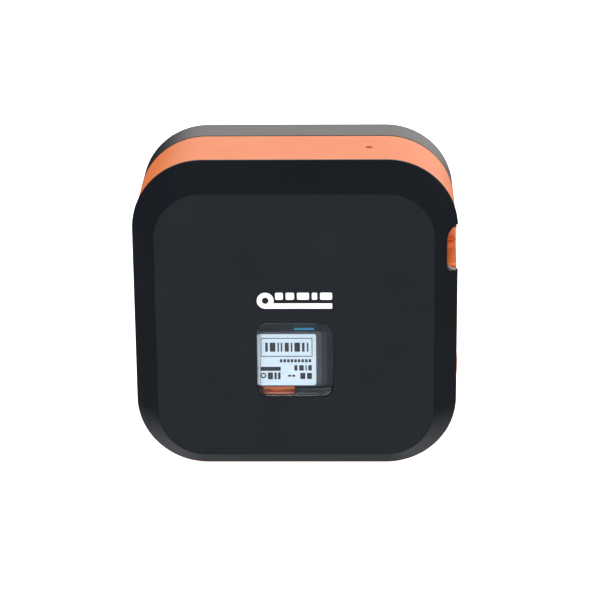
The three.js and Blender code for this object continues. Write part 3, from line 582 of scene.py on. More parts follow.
def buildFacePrint():
    front, back = coverLow.y, cover["faceY"] + facePrint["sunk"]
    low, high, roll, core = facePrint["low"], facePrint["high"], facePrint["roll"], facePrint["core"]
    centre = (facePrint["left"] + roll, low + roll)
    ring = turned("print", "y", centre, [(roll, back), (roll, front)], 56)
    stripTop = low + facePrint["strip"]
    strip = prism("strip", [(centre[0], low), (facePrint["right"], low), (facePrint["right"], stripTop),
                            (centre[0], stripTop)], front, back)
    combine(ring, [strip], "UNION")
    combine(ring, [turned("core", "y", centre, [(core, back + cutPast), (core, front - cutPast)], 32)])
    marks = [prism("mark", boxOutline(left, right, high - facePrint["markHeight"], high,
                                      facePrint["markRadius"], 4), front, back)
             for left, right in facePrint["marks"]]
    return joined("face_print", [ring] + marks)


place(buildFacePrint(), "cover", whiteInk)
print("front cover ready")

band = {
    "frontY": coverHigh.y - legs["reach"] + body["gap"],
    "edgeFillet": 0.25,
    "stepFillet": 0.1,
    "lipFillet": 0.3,
    "exitReach": 8,
    "lightRadius": 1.5,
    "usbRadius": 1.6,
    "holeFillet": 0.25,
}
button = {"flange": 1.2, "flangeThick": 1.4, "flangeFillet": 0.3, "rootFillet": 0.1, "crown": 0.25,
          "crownFillet": 0.6, "ink": 0.04}


def footHole(node):
    low, high = cadBox(node)
    radius = (high.x - low.x) / 2 + body["gap"]
    return turned("foot hole", "z", topCentre(low, high), [(radius, low.z - 2 * cutPast),
                                                           (radius, high.z + body["gap"])], 48)


def buildMidFrame():
    gap = body["gap"]
    lip = cover["sideShift"] + gap + (cover["rimY"] - bandLow.y) * cover["bevelInset"] / body["rimDepth"]
    lipInner = lip + body["lipWall"]
    outer, inner, back = body["bandInset"], body["bandInset"] + body["wall"], bandHigh.y
    front, step = band["frontY"], band["frontY"] + body["stepDepth"]
    edge, root, lipEdge = band["edgeFillet"], band["stepFillet"], band["lipFillet"]
    path = filleted([(outer, front, edge), (outer, back, edge), (inner, back, root), (inner, step, root),
                     (lipInner, step, root), (lipInner, bandLow.y, lipEdge), (lip, bandLow.y, lipEdge),
                     (lip, front, root)], closed=True)
    shell = loft("mid_frame_band", [bodyRing(inset, y) for inset, y in path], closed=True)
    reach = band["exitReach"]
    tools = [block("exit cut", (guideLow.x - reach, bandLow.y - cutPast, guideLow.z - gap),
                   (guideHigh.x + reach, guideHigh.y + gap, guideHigh.z + gap))]
    low, high = cadBox("status_light_pipe")
    tools.append(turned("light hole", "z", topCentre(low, high), [
        (band["lightRadius"], low.z), (band["lightRadius"], bandHigh.z + 2 * cutPast)], 32))
    for node in ("power_button", "feed_cut_button"):
        low, high = cadBox(node)
        radius = (high.z - low.z) / 2 - button["flange"] + gap
        tools.append(turned("button hole", "x", sideCentre(low, high), [
            (radius, low.x), (radius, high.x + 4 * cutPast)], 64))
    tools += [footHole("foot_1"), footHole("foot_2")]
    low, high = cadBox("usb_shell")
    outline = roundedOutline((high.y - low.y) / 2 + gap, (high.z - low.z) / 2 + gap, band["usbRadius"],
                             *sideCentre(low, high), 6)
    tools.append(prism("usb hole", outline, bandLow.x - 3 * cutPast, low.x + 8 * cutPast, "x"))
    combine(shell, tools)
    return soften(shell, band["holeFillet"], 2, cutAngle,
                  lambda spot: spot.y > front + 0.6 or spot.x > guideLow.x - 1)


place(buildMidFrame(), "root", orangeAbs, ["mid_frame"])
print("band ready")

rear = {
    "frontY": bandHigh.y + 0.6,
    "backFillet": 1.0,
    "edgeFillet": 0.25,
    "lipFillet": 0.2,
    "insideFillet": 0.6,
    "capInset": 20,
    "bossRadius": 4.0,
    "bossStart": 0.6,
    "labelRadius": 2.5,
    "labelDepth": 0.5,
    "holeFillet": 0.2,
    "filletFrom": 2.5,
}
screw = {"tip": 0.3, "thread": 1.25, "threadHole": 1.55, "point": 1.2, "head": 2, "domeFillet": 0.7,
         "flat": 1.2, "rootFillets": (0.2, 0.1, 0.2), "socketDepth": 1}


def buildRearHousing():
    gap, wall = body["gap"], body["wall"]
    outer, inner = body["bandInset"], body["bandInset"] + wall
    lipOuter = inner + gap
    lipInner = lipOuter + body["lipWall"]
    front, back, step = rear["frontY"], rearHigh.y, rear["frontY"] + body["stepDepth"]
    cap, lipFillet = rear["capInset"], rear["lipFillet"]
    path = filleted([
        (cap, back, 0), (outer, back, rear["backFillet"]), (outer, front, rear["edgeFillet"]),
        (lipOuter, front, 0), (lipOuter, rearLow.y, lipFillet), (lipInner, rearLow.y, lipFillet),
        (lipInner, step, 0.1), (inner, step, 0), (inner, back - wall, rear["insideFillet"]),
        (cap, back - wall, 0)])
    shell = loft("rear_housing_shell", [bodyRing(inset, y) for inset, y in path])
    bosses, holes = [], []
    for i in range(1, 5):
        low, high = cadBox(f"rear_screw_{i}")
        centre = crossCentre(low, high)
        radius = (high.x - low.x) / 2 + gap
        bosses.append(turned("boss", "y", centre, [(rear["bossRadius"], front + rear["bossStart"]),
                                                   (rear["bossRadius"], back - wall / 2)]))
        seat = high.y - screw["head"] - gap
        holes.append(turned("screw hole", "y", centre, [
            (screw["threadHole"], rearLow.y), (screw["threadHole"], seat), (radius, seat),
            (radius, back + cutPast)]))
    combine(shell, bosses, "UNION")
    holes += [footHole("foot_3"), footHole("foot_4")]
    low, high = cadBox("rating_label")
    outline = roundedOutline((high.x - low.x) / 2 + gap, (high.z - low.z) / 2 + gap, rear["labelRadius"],
                             *crossCentre(low, high), 8)
    holes.append(prism("label recess", outline, back - rear["labelDepth"], back + cutPast))
    combine(shell, holes)
    return soften(shell, rear["holeFillet"], 2, cutAngle, lambda spot: spot.y > front + rear["filletFrom"])


place(buildRearHousing(), "root", charcoalAbs, ["rear_housing"])
print("rear housing ready")

# The tape leaves through a slot in a pocket: a ramp below it and a thin lip above, both running askew.
guide = {"rampStart": 1.0, "rampDepth": 5.8, "rampRise": (3.4, 6.1), "slotLow": 7.6, "slotHigh": 8.75,
         "lipDepth": (6.9, 4.6), "lip": 0.55, "wallDepth": 7.6, "roof": 15.3, "bend": 0.8, "wallRise": 0.4,
         "roofRise": 0.3, "steps": 8}


def guideProfile(share):
    # share runs from 0 at the inner end to 1 at the outer end; each corner ends with its radius
    front, back, low, high = guideLow.y, guideHigh.y, guideLow.z, guideHigh.z
    rampTop = guide["rampRise"][0] * (1 - share) + guide["rampRise"][1] * share
    lipY = front + guide["lipDepth"][0] * (1 - share) + guide["lipDepth"][1] * share
    slotLow, slotHigh = low + guide["slotLow"], low + guide["slotHigh"]
    lipTop = slotHigh + guide["lip"]
    rampY, wallY = front + guide["rampDepth"], front + guide["wallDepth"]
    slotY, roof = back - guide["bend"], low + guide["roof"]
    return filleted([
        (front, low, 0.6), (front, low + guide["rampStart"], 0.5), (rampY, low + rampTop, 0.5),
        (rampY + guide["bend"], slotLow, 0.2), (slotY, slotLow, 0.1), (slotY, slotHigh, 0.1),
        (lipY, slotHigh, 0.12), (lipY, lipTop, 0.22), (wallY, lipTop + guide["wallRise"], 0.3),
        (wallY, roof, 1.2), (front, roof + guide["roofRise"], 0.2), (front, high, 0.2), (back, high, 0.3),
        (back, low, 0.3)], closed=True, steps=4)


def buildExitGuide():
    left, right, steps = guideLow.x, guideHigh.x, guide["steps"]
    return loft("exit_guide_mouth", [[(left + (right - left) * step / steps, y, z)
                                      for y, z in guideProfile(step / steps)] for step in range(steps + 1)])


place(buildExitGuide(), "root", orangeAbs, ["exit_guide"])


def buildButton(node, name):
    low, high = cadBox(node)
    outer = (high.z - low.z) / 2
    radius, fillet = outer - button["flange"], button["flangeFillet"]
    seat, face = low.x + button["flangeThick"], high.x - button["ink"]
    profile = capped([
        (radius * 0.6, low.x, 0), (outer, low.x, fillet), (outer, seat, fillet),
        (radius, seat, button["rootFillet"]), (radius, high.x - button["crown"], button["crownFillet"]),
        (radius * 0.5, face, 0)], low.x, face)
    return turned(name, "x", sideCentre(low, high), profile, 64)


for node, key in (("power_button", "power_key"), ("feed_cut_button", "feed_cut_key")):
    place(buildButton(node, node + "_cap"), key, orangeAbs, [node])
# The power key carries a plain ring, the other one a strip of tape with a cut across it.
keyMark = {"inner": 1.35, "outer": 1.8, "depth": 0.2, "radius": 0.12,
           "strip": ((-0.9, 0, 0.8, 0.55), (0.95, 0, 0.5, 0.55), (0.15, 0, 0.13, 1.3))}
low, high = cadBox("power_button")
behind = high.x - keyMark["depth"]
place(turned("power_key_mark", "x", sideCentre(low, high), [
    (keyMark["inner"], behind), (keyMark["outer"], behind), (keyMark["outer"], high.x),
    (keyMark["inner"], high.x)], 48, closed=True), "power_key", blackInk)
low, high = cadBox("feed_cut_button")
y, z = sideCentre(low, high)
place(joined("feed_key_mark", [
    prism("mark", roundedOutline(halfY, halfZ, keyMark["radius"], y + offY, z + offZ, 3),
          high.x - keyMark["depth"], high.x, "x")
    for offY, offZ, halfY, halfZ in keyMark["strip"]]), "feed_cut_key", blackInk)

pipe = {"flangeThick": 1.2, "foot": 0.2, "dome": 0.2, "domeFillet": 0.3, "fillet": 0.2, "rootFillet": 0.1}


def buildLightPipe():
    low, high = cadBox("status_light_pipe")
    flange = (high.x - low.x) / 2
    rod, seat = flange / 2, bandHigh.z - body["wall"] - body["gap"]
    under = seat - pipe["flangeThick"]
    profile = capped([
        (pipe["foot"], low.z, 0), (rod, low.z, pipe["fillet"]), (rod, under, pipe["rootFillet"]),
        (flange, under, pipe["fillet"]), (flange, seat, pipe["fillet"]), (rod, seat, pipe["rootFillet"]),
        (rod, high.z - pipe["dome"], pipe["domeFillet"]), (rod * 0.4, high.z, 0)], low.z, high.z)
    return turned("status_light_rod", "z", topCentre(low, high), profile, 32)


# the pipe's dark colour is painted shade in the status light hole
place(buildLightPipe(), "root", shadedPipe, ["status_light_pipe"])

# Feet with a hollow in the middle of the tread; the other sizes are shares of the radius.
pad = {"hollow": 0.15, "hollowShare": 0.7, "treadShare": 0.78, "fillets": (0.2, 0.35, 0.15)}


def buildFoot(i):
    low, high = cadBox(f"foot_{i}")
    radius, hollow = (high.x - low.x) / 2, low.z + pad["hollow"]
    tread, edge, top = pad["fillets"]
    profile = capped([
        (radius * pad["hollowShare"], hollow, 0), (radius * pad["treadShare"], low.z, tread),
        (radius, low.z, edge), (radius, high.z, top), (radius * 0.5, high.z, 0)], hollow, high.z)
    return turned(f"foot_pad_{i}", "z", topCentre(low, high), profile, 48)


def buildScrew(i):
    low, high = cadBox(f"rear_screw_{i}")
    radius, neck, centre = (high.x - low.x) / 2, high.y - screw["head"], crossCentre(low, high)
    thread, (point, root, under) = screw["thread"], screw["rootFillets"]
    profile = capped([
        (screw["tip"], low.y, 0), (thread, low.y + screw["point"], point), (thread, neck, root),
        (radius, neck, under), (radius, high.y, screw["domeFillet"]), (screw["flat"], high.y, 0)],
        low.y, high.y)
    bolt = turned(f"rear_screw_bolt_{i}", "y", centre, profile)
    corners = [(centre[0] + math.cos(k * math.pi / 3), centre[1] + math.sin(k * math.pi / 3))
               for k in range(6)]
    return combine(bolt, [prism("socket", corners, high.y - screw["socketDepth"], high.y + cutPast)])


for i in range(1, 5):
    place(buildFoot(i), "root", groundRubber, [f"foot_{i}"])
    place(buildScrew(i), "root", zincSteel, [f"rear_screw_{i}"])

# Blank rating label: bars in place of its lines of print, inside a thin frame.
# Each row is its distance below the top, its length and its height.
rating = {"radius": 2.2, "margin": 2.2, "line": 0.3, "indent": 1.6, "sunk": 0.01, "proud": 0.03,
          "rows": ((3.4, 44, 1.6), (6.4, 52, 0.8), (8.2, 49, 0.8), (10.0, 51, 0.8), (11.8, 30, 0.8),
                   (15.4, 26, 1.2), (18.2, 24, 0.8), (20.0, 27, 0.8), (21.8, 22, 0.8), (25.4, 18, 1.6)),
          "chequerInset": 3, "chequerPitch": 1.3, "chequerSize": 1.2, "chequerCount": 8}
low, high = cadBox("rating_label")
ratingSheet = boxOutline(low.x, high.x, low.z, high.z, rating["radius"], 8)
place(prism("rating_label_sheet", ratingSheet, low.y, high.y), "root", silverPolyester,
      ["rating_label"])


def buildRatingMarks(low, high):
    margin, line, pitch = rating["margin"], rating["line"], rating["chequerPitch"]
    left, right, bottom, top = low.x + margin, high.x - margin, low.z + margin, high.z - margin
    bars = [(left, right, top - line, top), (left, right, bottom, bottom + line),
            (left, left + line, bottom, top), (right - line, right, bottom, top)]
    # seen from behind, the lines start at the right end
    start = right - rating["indent"]
    bars += [(start - length, start, top - down - tall, top - down) for down, length, tall in rating["rows"]]
    # a plain chequered square beside the short lines
    cellX, cellZ, size = left + rating["chequerInset"], bottom + rating["chequerInset"], rating["chequerSize"]
    cells = range(rating["chequerCount"])
    bars += [(cellX + pitch * i, cellX + size + pitch * i, cellZ + pitch * j, cellZ + size + pitch * j)
             for i in cells for j in cells if (i * 3 + j * 5 + i * j) % 3]
    front, back = high.y - rating["sunk"], high.y + rating["proud"]
    return joined("rating_label_bars", [
        prism("bar", [(x0, z0), (x1, z0), (x1, z1), (x0, z1)], front, back) for x0, x1, z0, z1 in bars])


place(buildRatingMarks(low, high), "root", blackInk)

socket = {"wall": 0.35, "radius": 1.45, "innerRadius": 1.1, "backWall": 0.6, "edge": 0.08}


def buildUsbShell():
    low, high = cadBox("usb_shell")
    halfY, halfZ, centre = (high.y - low.y) / 2, (high.z - low.z) / 2, sideCentre(low, high)
    outline = roundedOutline(halfY, halfZ, socket["radius"], *centre, 8)
    shell = prism("usb_socket_shell", outline, low.x, high.x, "x")
    mouth = roundedOutline(halfY - socket["wall"], halfZ - socket["wall"], socket["innerRadius"], *centre, 8)
    combine(shell, [prism("usb mouth", mouth, low.x - cutPast, high.x - socket["backWall"], "x")])
    return soften(shell, socket["edge"], 2, cutAngle)


place(buildUsbShell(), "root", drawnSteel, ["usb_shell"])
print("outside fittings ready")

frontShellLow, frontShellHigh = cadBox("cassette_front_shell")
backShellLow, backShellHigh = cadBox("cassette_back_shell")
labelLow, labelHigh = cadBox("cassette_label")
cassette = {
    "radius": 4,
    "wall": 1.6,
    "faceFillet": 0.8,
    "seamFillet": 0.15,
    "edge": 0.2,
    "panelRise": 1.9,
    "panelLeft": -30.425,
    "panelRight": 9.7,
    "panelSlope": 2.4,
    "panelLow": 37.2,
    "panelHigh": 60.55,
    "panelFillet": 0.7,
    "panelRadius": 1.6,
    "panelSunk": 0.4,
    "cavityLow": 73.5,
    "cavityHalf": 8,
    "cavityFront": 3,
    "cavityTop": 6,
    "spindleHole": 3.5,
    "backEdge": 0.25,
}
cassetteFaceY = frontShellLow.y + cassette["panelRise"]
cassetteX, cassetteZ = crossCentre(frontShellLow, frontShellHigh)
cassetteHalfX = (frontShellHigh.x - frontShellLow.x) / 2
cassetteHalfZ = (frontShellHigh.z - frontShellLow.z) / 2
platenX = crossCentre(*cadBox("platen_roller"))[0]


def cassetteRing(inset, y):
    return upright(roundedOutline(
        cassetteHalfX - inset, cassetteHalfZ - inset, cassette["radius"] - inset, cassetteX, cassetteZ,
        10), y)


def headCavity(grow):
    half, reach = cassette["cavityHalf"] + grow, cassette["cavityFront"]
    return block("cavity", (platenX - half, frontShellLow.y - reach, cassette["cavityLow"] - grow),
                 (platenX + half, backShellHigh.y + reach, frontShellHigh.z + cassette["cavityTop"]))


def cassetteHalf(name, face, seam, towards):
    # towards is 1 where the face lies in front of the seam and -1 where it lies behind it
    fillet, wall = cassette["faceFillet"], cassette["wall"]
    path = filleted([(3, face, 0), (0, face, fillet), (0, seam, cassette["seamFillet"]), (1.2, seam, 0)])
    outer = loft(name, [cassetteRing(inset, y) for inset, y in path])
    inner = loft("hollow", [cassetteRing(wall, face + towards * wall), cassetteRing(wall, seam + towards)])
    combine(inner, [headCavity(wall)])
    return combine(combine(outer, [inner]), [headCavity(0)])


def buildLabelPanel():
    # rings from the face back: (inset, slope, y); its right flank is a long slope down to the shell
    fillet, slope, face = cassette["panelFillet"], cassette["panelSlope"], frontShellLow.y
    rings = []
    for inset, out, y in ((fillet * 0.9, 0.8, face), (fillet * 0.25, 0.5, face + 0.12), (0, 0.2, face + 0.45),
                          (0, slope, cassetteFaceY + 0.1), (0, slope, cassetteFaceY + cassette["panelSunk"])):
        outline = boxOutline(cassette["panelLeft"] + inset, cassette["panelRight"] - inset + out,
                             cassette["panelLow"] + inset, cassette["panelHigh"] - inset,
                             cassette["panelRadius"], 6)
        rings.append(upright(outline, y))
    return loft("cassette_label_panel", rings)


# Front of the cassette: hub openings over the two cores, finger ribs down both sides and a small shelf.
moulding = {"hubs": (("tape_core", 3.4), ("ribbon_spindle", 3.3)), "hubDepth": 0.7, "hubRing": 0.7, "ribs": 4,
            "ribStart": 2.4, "ribPitch": 1.7, "ribHalf": 0.45, "ribLow": 64, "ribHigh": 82, "ribDepth": 0.5,
            "cutReach": 3, "shelf": (4.9, 1.05, 0.4, 3.2, 61.2), "shelfRise": 0.18, "shelfSunk": 0.4,
            "shelfEdge": 0.12}


def buildCassetteFront():
    shell = cassetteHalf("cassette_front_half", cassetteFaceY, frontShellHigh.y, 1)
    combine(shell, [plate("shelf", *moulding["shelf"], cassetteFaceY - moulding["shelfRise"],
                          cassetteFaceY + moulding["shelfSunk"], moulding["shelfEdge"], 4)], "UNION")
    front, hubBack = cassetteFaceY - moulding["cutReach"], cassetteFaceY + moulding["hubDepth"]
    ribBack, half = cassetteFaceY + moulding["ribDepth"], moulding["ribHalf"]
    grooves = []
    for node, radius in moulding["hubs"]:
        inner = radius - moulding["hubRing"]
        grooves.append(turned("groove", "y", crossCentre(*cadBox(node)), [
            (radius, front), (radius, hubBack), (inner, hubBack), (inner, front)], 48, closed=True))
    for side in (-1, 1):
        for i in range(moulding["ribs"]):
            x = cassetteX + side * (cassetteHalfX - moulding["ribStart"] - i * moulding["ribPitch"])
            grooves.append(block("rib", (x - half, front, moulding["ribLow"]),
                                 (x + half, ribBack, moulding["ribHigh"])))
    combine(shell, grooves)
    return soften(shell, cassette["edge"], 2, cutAngle)


def buildCassetteBack():
    shell = cassetteHalf("cassette_back_half", backShellHigh.y, backShellLow.y, -1)
    hole, reach = cassette["spindleHole"], 2 * cutPast
    combine(shell, [turned("spindle hole", "y", crossCentre(*cadBox("ribbon_spindle")), [
        (hole, backShellLow.y - reach), (hole, backShellHigh.y + reach)], 32)])
    return soften(shell, cassette["backEdge"], 2, cutAngle)


place(buildCassetteFront(), "cassette", greyPolystyrene, ["cassette_front_shell"])
# the panel's lighter grey is a painted highlight on the raised panel
place(buildLabelPanel(), "cassette", litPanelPolystyrene)
place(buildCassetteBack(), "cassette", greyPolystyrene, ["cassette_back_shell"])

# The paper label is cut through near its left end, where its tail folds round the side.
paper = {"split": (-15.9, -15.15), "low": 37.95, "high": 59.55, "radius": 0.9, "sunk": 0.03}


def buildPaper(name, left, right):
    outline = boxOutline(left, right, paper["low"], paper["high"], paper["radius"], 6)
    return prism(name, outline, labelLow.y + paper["sunk"], labelHigh.y)


place(buildPaper("cassette_label_paper", paper["split"][1], labelHigh.x), "cassette",
      coatedPaper, ["cassette_label"])
place(buildPaper("cassette_label_tail", labelLow.x, paper["split"][0]), "cassette",
      coatedPaper)

# Plain marks stand where the words are: bars, blocks, a frame and a small ring.
# Each mark is its left, right, low and high edge.
labelPrint = {
    "depth": 0.05,
    "rounding": 0.12,
    "frame": (-13.9, 6.3, 50.1, 58.0),
    "line": 0.32,
    "notches": {"count": 8, "pitch": 0.95, "start": 0.25, "height": 0.5, "left": 0.1, "right": 0.25},
    "bars": ((1.0, 0.8), (2.2, 0.8), (0.6, 0.7), (0.6, 1.0), (1.6, 0.8), (0.6, 0.8), (2.2, 0.8), (1.0, 0.9),
             (0.6, 0)),  # each with the space after it
    "barStart": 1.6,
    "barHeights": (52.2, 56.0),
    "dashes": {"count": 9, "pitch": 1.42, "left": -6.6, "right": -5.6, "heights": (47.7, 49.0)},
    "blocks": ((-0.9, 0.3, 44.2, 46.5), (1.0, 2.8, 44.2, 46.5), (3.5, 4.0, 44.2, 46.5),
               (4.6, 6.0, 44.2, 46.5), (-3.4, -2.2, 41.6, 42.4), (-1.8, -0.6, 41.6, 42.4),
               (1.4, 3.4, 40.6, 43.2), (4.1, 6.0, 40.6, 43.2), (-14.2, -6.3, 44.1, 45.8),
               (-11.4, -9.4, 40.5, 43.4), (-8.8, -7.9, 40.5, 43.4), (-7.4, -6.4, 40.5, 43.4)),
    "ring": {"centre": (-13.2, 42.1), "inner": 0.65, "outer": 1.15},
    # a grey line down the fold: painted shade of the crease
    "fold": (-14.4, -14.15, paper["low"] + 0.05, paper["high"] - 0.05),
    "colourBar": (-0.95, 6.95, 60.4, 61.45),
    "colourBarRise": 0.22,
}


def inked(name, marks, finish, front, behind):
    parts = []
    for left, right, low, high in marks:
        radius = min(right - left, high - low) * labelPrint["rounding"]
        parts.append(prism("mark", boxOutline(left, right, low, high, radius, 3), front, behind))
    return place(joined(name, parts), "cassette", finish)


def buildLabelPrint():
    front, behind = labelLow.y, labelLow.y + labelPrint["depth"]
    left, right, low, high = labelPrint["frame"]
    line = labelPrint["line"]
    marks = [(left, right, high - line, high), (left, right, low, low + line),
             (right - line, right, low, high)]
    notches = labelPrint["notches"]
    for k in range(notches["count"]):
        start = low + notches["start"] + notches["pitch"] * k
        marks.append((left - notches["left"], left + notches["right"], start, start + notches["height"]))
    start = left + labelPrint["barStart"]
    for width, space in labelPrint["bars"]:
        marks.append((start, start + width, *labelPrint["barHeights"]))
        start += width + space
    dashes = labelPrint["dashes"]
    for k in range(dashes["count"]):
        shift = dashes["pitch"] * k
        marks.append((dashes["left"] + shift, dashes["right"] + shift, *dashes["heights"]))
    inked("label_marks", marks + list(labelPrint["blocks"]), blackInk, front, behind)
    ring = labelPrint["ring"]
    inner, outer = ring["inner"], ring["outer"]
    place(turned("label_ring", "y", ring["centre"], [
        (inner, behind), (inner, front), (outer, front), (outer, behind)], 32),
          "cassette", blackInk)
    # grey line at the fold: painted shade
    inked("label_fold_shade", [labelPrint["fold"]], foldShadeGrey, front, behind)
    inked("tape_colour_bar", [labelPrint["colourBar"]], blueInk, cassetteFaceY - labelPrint["colourBarRise"],
          cassetteFaceY)


buildLabelPrint()

# Dark frame in front of the ribs, open at the top, so the window shows them only through its slot: a dark
# piece put in as painted shade below the cassette.
bridge = {"left": -17, "right": 19, "low": 30.4, "high": 36.3, "front": -27.6, "back": -25.3,
          "slot": (-13.4, -0.6, 33.4, 38.0), "slotRadius": 1.4, "edge": 0.5}


def buildShadeFrame():
    piece = block("bay_shade_frame", (bridge["left"], bridge["front"], bridge["low"]),
                  (bridge["right"], bridge["back"], bridge["high"]))
    combine(piece, [prism("slot", boxOutline(*bridge["slot"], bridge["slotRadius"], 6),
                          bridge["front"] - cutPast, bridge["back"] + cutPast)])
    return soften(piece, bridge["edge"], 4, cutAngle)


# the black frame is painted shade under the window
place(buildShadeFrame(), "root", blackAbs)
print("cassette ready")

# The works behind the cover: copies of the CAD shapes with rolled edges.
# (name, node, body, slot, finish, width of the rolled edge)
for name, node, bodyName, slot, finish, width in (
        ("bay_chassis_frame", "bay_chassis", "root", "orange_abs", orangeAbs, 0.25),
        ("roller_holder_arm", "roller_holder", "holder", "dark_abs", charcoalAbs, 0.25),
        ("print_head_bar", "print_head", "root", "head_ceramic", glazedCeramic, 0.15),
        ("heatsink_plate", "head_heatsink", "root", "aluminium_plate", rolledAluminium, 0.2),
        ("fixed_blade_plate", "fixed_blade", "root", "steel", zincSteel, 0.1),
        ("moving_blade_plate", "moving_blade", "blade", "steel", zincSteel, 0.1),
        ("blade_carriage_rack", "blade_carriage", "blade", "dark_abs", charcoalAbs, 0.12),
        ("gear_side_plate", "gear_plate", "root", "steel", zincSteel, 0.12),
        ("button_board", "switch_board", "root", "circuit_board", maskedBoard, 0.1),
        ("battery_wrap_pack", "battery_pack", "root", "battery_wrap", shrinkFilm, 0.8),
        ("wireless_shield_can", "wireless_module", "root", "steel", drawnSteel, 0.3),
        ("ribbon_drive_spindle", "ribbon_spindle", "ribbon_drive", "acetal", whiteAcetal, 0.15),
        ("tape_strip_end", "tape_strip", "cassette", "white_tape", laminatedTape, 0.05)):
    place(refined(name, node, width), bodyName, finish, [node])

# Ground rubber sleeves and wound reels: (name, node, body, slot, finish, bore radius, edge radius)
boreFillet = 0.1
for name, node, bodyName, slot, finish, bore, edge in (
        ("platen_roller_sleeve", "platen_roller", "platen", "rubber_black", groundRubber, 1.5, 0.35),
        ("press_roller_sleeve", "press_roller", "press_roll", "rubber_black", groundRubber, 1.5, 0.35),
        ("tape_roll_wound", "tape_roll", "tape_reel", "white_tape", laminatedTape, 5.0, 0.3),
        ("tape_core_tube", "tape_core", "tape_reel", "acetal", whiteAcetal, 3.0, 0.3),
        ("ribbon_supply_wound", "ribbon_supply", "ribbon_supply_reel", "ribbon_film", woundRibbon, 3.0, 0.3),
        ("ribbon_takeup_wound", "ribbon_takeup", "ribbon_takeup_reel", "ribbon_film", woundRibbon, 2.9, 0.3)):
    low, high = cadBox(node)
    radius = (high.x - low.x) / 2
    path = filleted([(bore, low.y, boreFillet), (radius, low.y, edge), (radius, high.y, edge),
                     (bore, high.y, boreFillet)], closed=True)
    place(turned(name, "y", crossCentre(low, high), path, 64, closed=True), bodyName, finish, [node])

# Ground pins with chamfered ends and a clip groove near the front.
pin = {"radius": 1.4, "chamfer": 0.3, "grooveFrom": 0.6, "grooveDepth": 0.25, "grooveWidth": 0.35}
for name, node, bodyName in (("holder_pivot_rod", "holder_pivot_pin", "root"),
                             ("platen_shaft_rod", "platen_shaft", "platen"),
                             ("press_roller_rod", "press_roller_shaft", "press_roll")):
    low, high = cadBox(node)
    radius, chamfer = pin["radius"], pin["chamfer"]
    neck, start = radius - pin["grooveDepth"], low.y + pin["grooveFrom"]
    stop = start + pin["grooveWidth"]
    profile = [(0, low.y), (radius - chamfer, low.y), (radius, low.y + chamfer), (radius, start),
               (neck, start), (neck, stop), (radius, stop), (radius, high.y - chamfer),
               (radius - chamfer, high.y), (0, high.y)]
    place(turned(name, "y", crossCentre(low, high), profile, 32), bodyName, zincSteel, [node])

# Small motors: a drawn can, a bearing boss at each end, two solder tags in front and the shaft behind.
motor = {"bossShare": 0.45, "shaft": 0.95, "canBack": 7.7, "bossBack": 6.2, "frontBoss": 1.2,
         "canFillet": 0.9, "backFillet": 0.4, "bossFillet": 0.3, "rootFillet": 0.2, "shaftFillet": 0.1,
         "shaftEnd": (0.2, 0.6),
         "tag": (0.9, 0.25), "tagShare": 0.72, "tagSunk": 0.4}


def buildMotor(name, node):
    low, high = cadBox(node)
    radius = (high.x - low.x) / 2
    x, z = crossCentre(low, high)
    canFront, canBack = low.y + motor["frontBoss"], high.y - motor["canBack"]
    boss, bossBack = radius * motor["bossShare"], high.y - motor["bossBack"]
    shaft, root = motor["shaft"], motor["rootFillet"]
    tipLength, tipRadius = motor["shaftEnd"]
    profile = capped([
        (0.2, low.y, 0), (boss, low.y, motor["bossFillet"]), (boss, canFront, root),
        (radius, canFront, motor["canFillet"]), (radius, canBack, motor["backFillet"]), (boss, canBack, root),
        (boss, bossBack, motor["bossFillet"]), (shaft, bossBack, motor["shaftFillet"]),
        (shaft, high.y - tipLength, motor["shaftFillet"]), (tipRadius, high.y, 0)], low.y, high.y)
    halfWide, halfThick = motor["tag"]
    tags = []
    for side in (-1, 1):
        tagX = x + side * radius * motor["tagShare"]
        tags.append(block("tag", (tagX - halfThick, low.y, z - halfWide),
                          (tagX + halfThick, canFront + motor["tagSunk"], z + halfWide)))
    return joined(name, [turned(name, "y", (x, z), profile, 56)] + tags)


for name, node in (("feed_motor_can", "feed_motor"), ("cutter_motor_can", "cutter_motor")):
    place(buildMotor(name, node), "root", drawnSteel, [node])

# Torsion spring: close turns of drawn wire with one straight leg at each end.
spring = {"wire": 0.25, "radius": 3.55, "turns": 9, "stepsPerTurn": 24, "leg": 8.9, "sides": 8}


def buildSpring():
    low, high = cadBox("holder_spring")
    x, z = crossCentre(low, high)
    front, back = low.y + spring["wire"], high.y - spring["wire"]
    reach = spring["radius"]
    route = [(x - spring["leg"], front, z - reach)]
    # from the bottom of the first turn, winding on to the top of the last
    count = int((spring["turns"] + 0.5) * spring["stepsPerTurn"])
    for i in range(count + 1):
        angle = -math.pi / 2 + 2 * math.pi * i / spring["stepsPerTurn"]
        route.append((x + reach * math.cos(angle), front + (back - front) * i / count,
                      z + reach * math.sin(angle)))
    route.append((x + spring["leg"], back, z + reach))
    rings = []
    for i, point in enumerate(route):
        ahead = (Vector(route[min(i + 1, len(route) - 1)]) - Vector(route[max(i - 1, 0)])).normalized()
        across = ahead.cross(Vector((0, 1, 0))).normalized()
        over = across.cross(ahead)
        rings.append([Vector(point) + spring["wire"] * (across * math.cos(turn) + over * math.sin(turn))
                      for turn in (2 * math.pi * k / spring["sides"] for k in range(spring["sides"]))])
    return loft("holder_spring_coil", rings)


place(buildSpring(), "holder", drawnSteel, ["holder_spring"], sharp=60)

